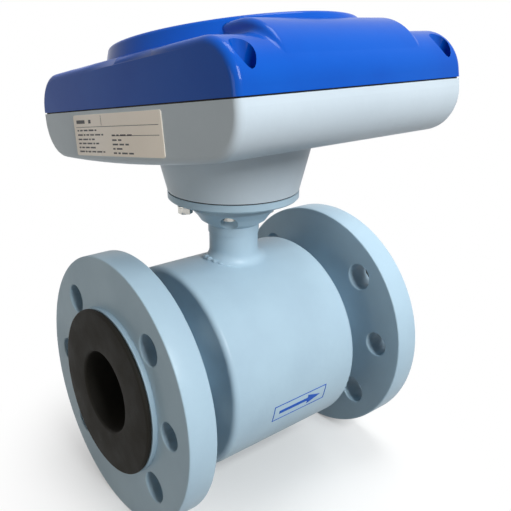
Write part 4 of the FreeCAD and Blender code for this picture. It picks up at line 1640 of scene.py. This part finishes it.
@dataclass
class Electronics(SubAssembly):
    """The small parts on the board, seen when the cover is off.

    Attributes:
        converter: The converter that they sit in.
        chips: The chips.
        cans: The capacitors.
        poles: How many screws the terminal block has.
        head: The head of such a screw.
        head_level: How far a head's top lies below the block's top.
        well_setback: How far the row of screws is from the block's middle line.
        leg_width: The width of a chip's leg.
        leg_reach: How far a leg reaches out of the chip.
        leg_thickness: A leg's thickness.
        edge: The rounding of a chip's edges.
    """

    converter: Converter
    chips: tuple[Chip, ...] = (
        Chip((-0.028, -0.020), (0.014, 0.014, 0.0016), 12),
        Chip((-0.028, 0.006), (0.009, 0.006, 0.0018), 5),
        Chip((0.014, 0.016), (0.013, 0.0075, 0.0022), 8),
        Chip((0.044, 0.014), (0.009, 0.006, 0.0018), 4),
    )
    cans: tuple[Can, ...] = (
        Can((-0.046, -0.040), 0.004, 0.0095),
        Can((-0.034, -0.044), 0.004, 0.0095),
        Can((-0.048, -0.022), 0.005, 0.0115),
        Can((0.047, -0.002), 0.0035, 0.0075),
    )
    poles: int = 12
    head: SlottedHead = SlottedHead()
    head_level: float = 0.0012
    well_setback: float = 0.0025
    leg_width: float = 0.0004
    leg_reach: float = 0.0011
    leg_thickness: float = 0.0003
    edge: float = 0.0002

    def board_place(self) -> Matrix:
        """Return the frame on the middle of the board's upper face."""
        seat = self.converter.end_of("circuit_board", Way.OUT)
        return self.converter.place() @ Matrix.Translation(seat)

    def make_chips(self) -> None:
        """Make the chips' bodies and legs."""
        bodies, legs = bmesh.new(), bmesh.new()
        for chip in self.chips:
            length, width, height = chip.size
            middle = Vector((*chip.middle, 0.0))
            body = panel(length, width, height)
            soften(body, self.edge, segments=2)
            merge_into(bodies, body, Matrix.Translation(middle))
            pitch = length / chip.legs
            reach = width + 2 * self.leg_reach
            for leg in range(chip.legs):
                along = Vector(((leg + 0.5) * pitch - length / 2, 0.0, 0.0))
                bar = panel(self.leg_width, reach, self.leg_thickness)
                merge_into(legs, bar, Matrix.Translation(middle + along))
        place = self.board_place()
        bodies.transform(place)
        legs.transform(place)
        self.shop.finish(bodies, "chip_bodies", Slot.MODULE_PLASTIC)
        self.shop.finish(legs, "chip_legs", Slot.SCREW_STEEL)

    def make_cans(self) -> None:
        """Make the capacitors."""
        shape = bmesh.new()
        for can in self.cans:
            merge_into(shape, can.shape(), Matrix.Translation((*can.middle, 0.0)))
        shape.transform(self.board_place())
        self.shop.finish(shape, "capacitor_cans", Slot.SCREW_STEEL)

    def make_terminal_screws(self) -> None:
        """Make the slotted screws in the terminal block's wells."""
        low, high = self.converter.own_box("terminal_block")
        pitch = (high.x - low.x) / self.poles
        row = (low.y + high.y) / 2 - self.well_setback
        shape = bmesh.new()
        for pole in range(self.poles):
            place = Vector((low.x + (pole + 0.5) * pitch, row, high.z - self.head_level))
            merge_into(shape, self.head.shape(), Matrix.Translation(place))
        shape.transform(self.converter.place())
        self.shop.finish(shape, "terminal_screws", Slot.SCREW_STEEL, crease=self.head.crease)

    def build(self) -> None:
        """Make all small parts of the board."""
        self.make_chips()
        self.make_cans()
        self.make_terminal_screws()


# ------------------------------------------------------------------ studio
@dataclass(frozen=True)
class Lamp:
    """A square soft lamp.

    Attributes:
        name: Its name.
        place: Where it hangs.
        size: The length of its side.
        power: Its power in watts.
        colour: The colour of its light.
    """

    name: str
    place: tuple[float, float, float]
    size: float
    power: float
    colour: Colour = (1.0, 1.0, 1.0)

    def hang(self, target: Vector) -> None:
        """Hang the lamp, turned to a point.

        Args:
            target: The point.
        """
        data = bpy.data.lights.new(self.name, "AREA")
        data.shape = "SQUARE"
        data.size = self.size
        data.energy = self.power
        data.color = self.colour
        lamp = into_scene(self.name, data)
        lamp.location = self.place
        aim = target - Vector(self.place)
        lamp.rotation_euler = aim.to_track_quat("-Z", "Y").to_euler()


@dataclass
class Studio:
    """The floor, the soft lights and the camera.

    Attributes:
        eye: Where the camera stands.
        turn: The camera's turn about Z, in degrees.
        tilt: How far the camera looks down, in degrees.
        lens: The focal length.
        sensor: The width of the sensor that it goes with.
        shift: The lens shift across and up.
        near: The nearest distance that the camera sees.
        far: The farthest.
        floor_reach: Half the floor's width.
        floor_tone: The floor's colour.
        floor_bounce: The darker tone that its diffuse light throws back on the object.
        floor_roughness: The floor's roughness.
        clear_from: Where the floor starts to pass into plain white, from the middle.
        clear_to: Where it is plain white.
        sky_strength: The even light from all round.
        lamps: The lamps.
    """

    eye: tuple[float, float, float] = (-0.2533, -0.3238, 0.2155)
    turn: float = -38.63
    tilt: float = 17.21
    lens: float = 46.24
    sensor: float = 36.0
    shift: tuple[float, float] = (0.0303, -0.0656)
    near: float = 0.01
    far: float = 100.0
    floor_reach: float = 6.0
    floor_tone: Colour = (0.9, 0.9, 0.895)
    floor_bounce: Colour = (0.16, 0.16, 0.16)
    floor_roughness: float = 0.9
    clear_from: float = 0.02
    clear_to: float = 0.19
    sky_strength: float = 0.03
    lamps: tuple[Lamp, ...] = (
        Lamp("key", (0.0, -1.8, 1.3), 1.0, 55.0, (0.965, 0.99, 1.0)),
        Lamp("fill", (-1.6, -0.05, 0.1), 1.0, 6.6, (1.0, 0.93, 0.82)),
        Lamp("top", (0.5, 0.0, 1.7), 0.8, 15.0),
    )

    def make_camera(self) -> None:
        """Stand the camera in its place."""
        data = bpy.data.cameras.new("camera")
        data.sensor_width = self.sensor
        data.lens = self.lens
        data.shift_x, data.shift_y = self.shift
        data.clip_start = self.near
        data.clip_end = self.far
        camera = into_scene("camera", data)
        camera.location = self.eye
        camera.rotation_euler = (math.radians(90 - self.tilt), 0.0, math.radians(self.turn))
        bpy.context.scene.camera = camera

    def shown(self, tool: NodeTool) -> Socket:
        """Tell the rays that show a surface from those that only light others with it.

        Args:
            tool: The tool of the tree that asks.

        Returns:
            An output that is 1 on rays from the camera, in gloss and through glass.
        """
        rays = tool.add("ShaderNodeLightPath").outputs
        direct = tool.reckon("MAXIMUM", rays["Is Camera Ray"], rays["Is Glossy Ray"])
        return tool.reckon("MAXIMUM", direct, rays["Is Transmission Ray"])

    def floor_material(self) -> bpy.types.Material:
        """Make the pale floor, which passes into plain white away from the object.

        Returns:
            The floor's material.
        """
        material = bpy.data.materials.new("floor_paper")
        material.use_nodes = True
        tool = NodeTool(material.node_tree)
        shown = self.shown(tool)
        bounce, tone = (*self.floor_bounce, 1.0), (*self.floor_tone, 1.0)
        paper = tool.mix(Blend.COLOUR, shown, bounce, tone)
        shader = material.node_tree.nodes["Principled BSDF"]
        tool.feed(shader, {"Roughness": self.floor_roughness, "Base Color": paper})
        place = tool.add("ShaderNodeTexCoord").outputs["Object"]
        level = {0: place, 1: (1.0, 1.0, 0.0)}
        flat = tool.add("ShaderNodeVectorMath", level, operation="MULTIPLY")
        reach = tool.add("ShaderNodeVectorMath", {0: flat.outputs[0]}, operation="LENGTH")
        span = {
            "Value": reach.outputs["Value"],
            "From Min": self.clear_from,
            "From Max": self.clear_to,
        }
        fade = tool.add("ShaderNodeMapRange", span, interpolation_type="SMOOTHSTEP")
        seen = tool.reckon("MULTIPLY", fade.outputs["Result"], shown)
        white = tool.add("ShaderNodeEmission")
        choice = {0: seen, 1: shader.outputs[0], 2: white.outputs[0]}
        mixed = tool.add("ShaderNodeMixShader", choice)
        tool.feed(material.node_tree.nodes["Material Output"], {"Surface": mixed.outputs[0]})
        return material

    def make_floor(self, level: float) -> None:
        """Lay the pale floor.

        Args:
            level: The height of the floor.
        """
        mesh = bpy.data.meshes.new("floor")
        shape = bmesh.new()
        bmesh.ops.create_grid(shape, x_segments=1, y_segments=1, size=self.floor_reach)
        bmesh.ops.translate(shape, verts=shape.verts, vec=(0, 0, level))
        shape.to_mesh(mesh)
        shape.free()
        floor = into_scene("floor", mesh)
        mesh.materials.append(self.floor_material())
        floor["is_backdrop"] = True

    def make_sky(self) -> None:
        """Light the object evenly from all round, with white behind it."""
        world = bpy.data.worlds.new("studio")
        world.use_nodes = True
        bpy.context.scene.world = world
        tool = NodeTool(world.node_tree)
        strength = tool.mix(Blend.VALUE, self.shown(tool), self.sky_strength, 1.0)
        ground = world.node_tree.nodes["Background"]
        tool.feed(ground, {"Color": (1.0, 1.0, 1.0, 1.0), "Strength": strength})

    def build(self, low: Vector, high: Vector) -> None:
        """Set up the studio round the object.

        Args:
            low: The low corner of the object's box.
            high: Its high corner.
        """
        self.make_camera()
        self.make_floor(low.z)
        self.make_sky()
        for lamp in self.lamps:
            lamp.hang((low + high) / 2)


# -------------------------------------------------------------------- main
def dress_solids(frame: dict, materials: dict[Slot, bpy.types.Material]) -> None:
    """Give each solid the finish of its slot.

    Args:
        frame: What the loader returned.
        materials: Each slot's material.
    """
    for part in frame["record"]["subparts"]:
        solid = frame["nodes"][part["node"]]
        solid.data.materials.clear()
        solid.data.materials.append(materials[Slot(part["material_slot"])])


def main() -> None:
    """Build the scene."""
    logging.basicConfig(level=logging.INFO, format="%(name)s: %(message)s")
    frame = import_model()
    low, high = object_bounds()
    bpy.context.scene.view_settings.view_transform = "Standard"
    patterns = Patterns()
    materials = {slot: finish.build(patterns) for slot, finish in FINISHES.items()}
    dress_solids(frame, materials)
    shop = Workshop(materials, list(frame["nodes"]))
    converter = Converter(shop)
    assemblies = (
        FlowTube(shop), CoilHousing(shop), NeckFastenings(shop), converter,
        Electronics(shop, converter),
    )
    for assembly in assemblies:
        assembly.build()
    Studio().build(low, high)


if __name__ == "__main__":
    main()
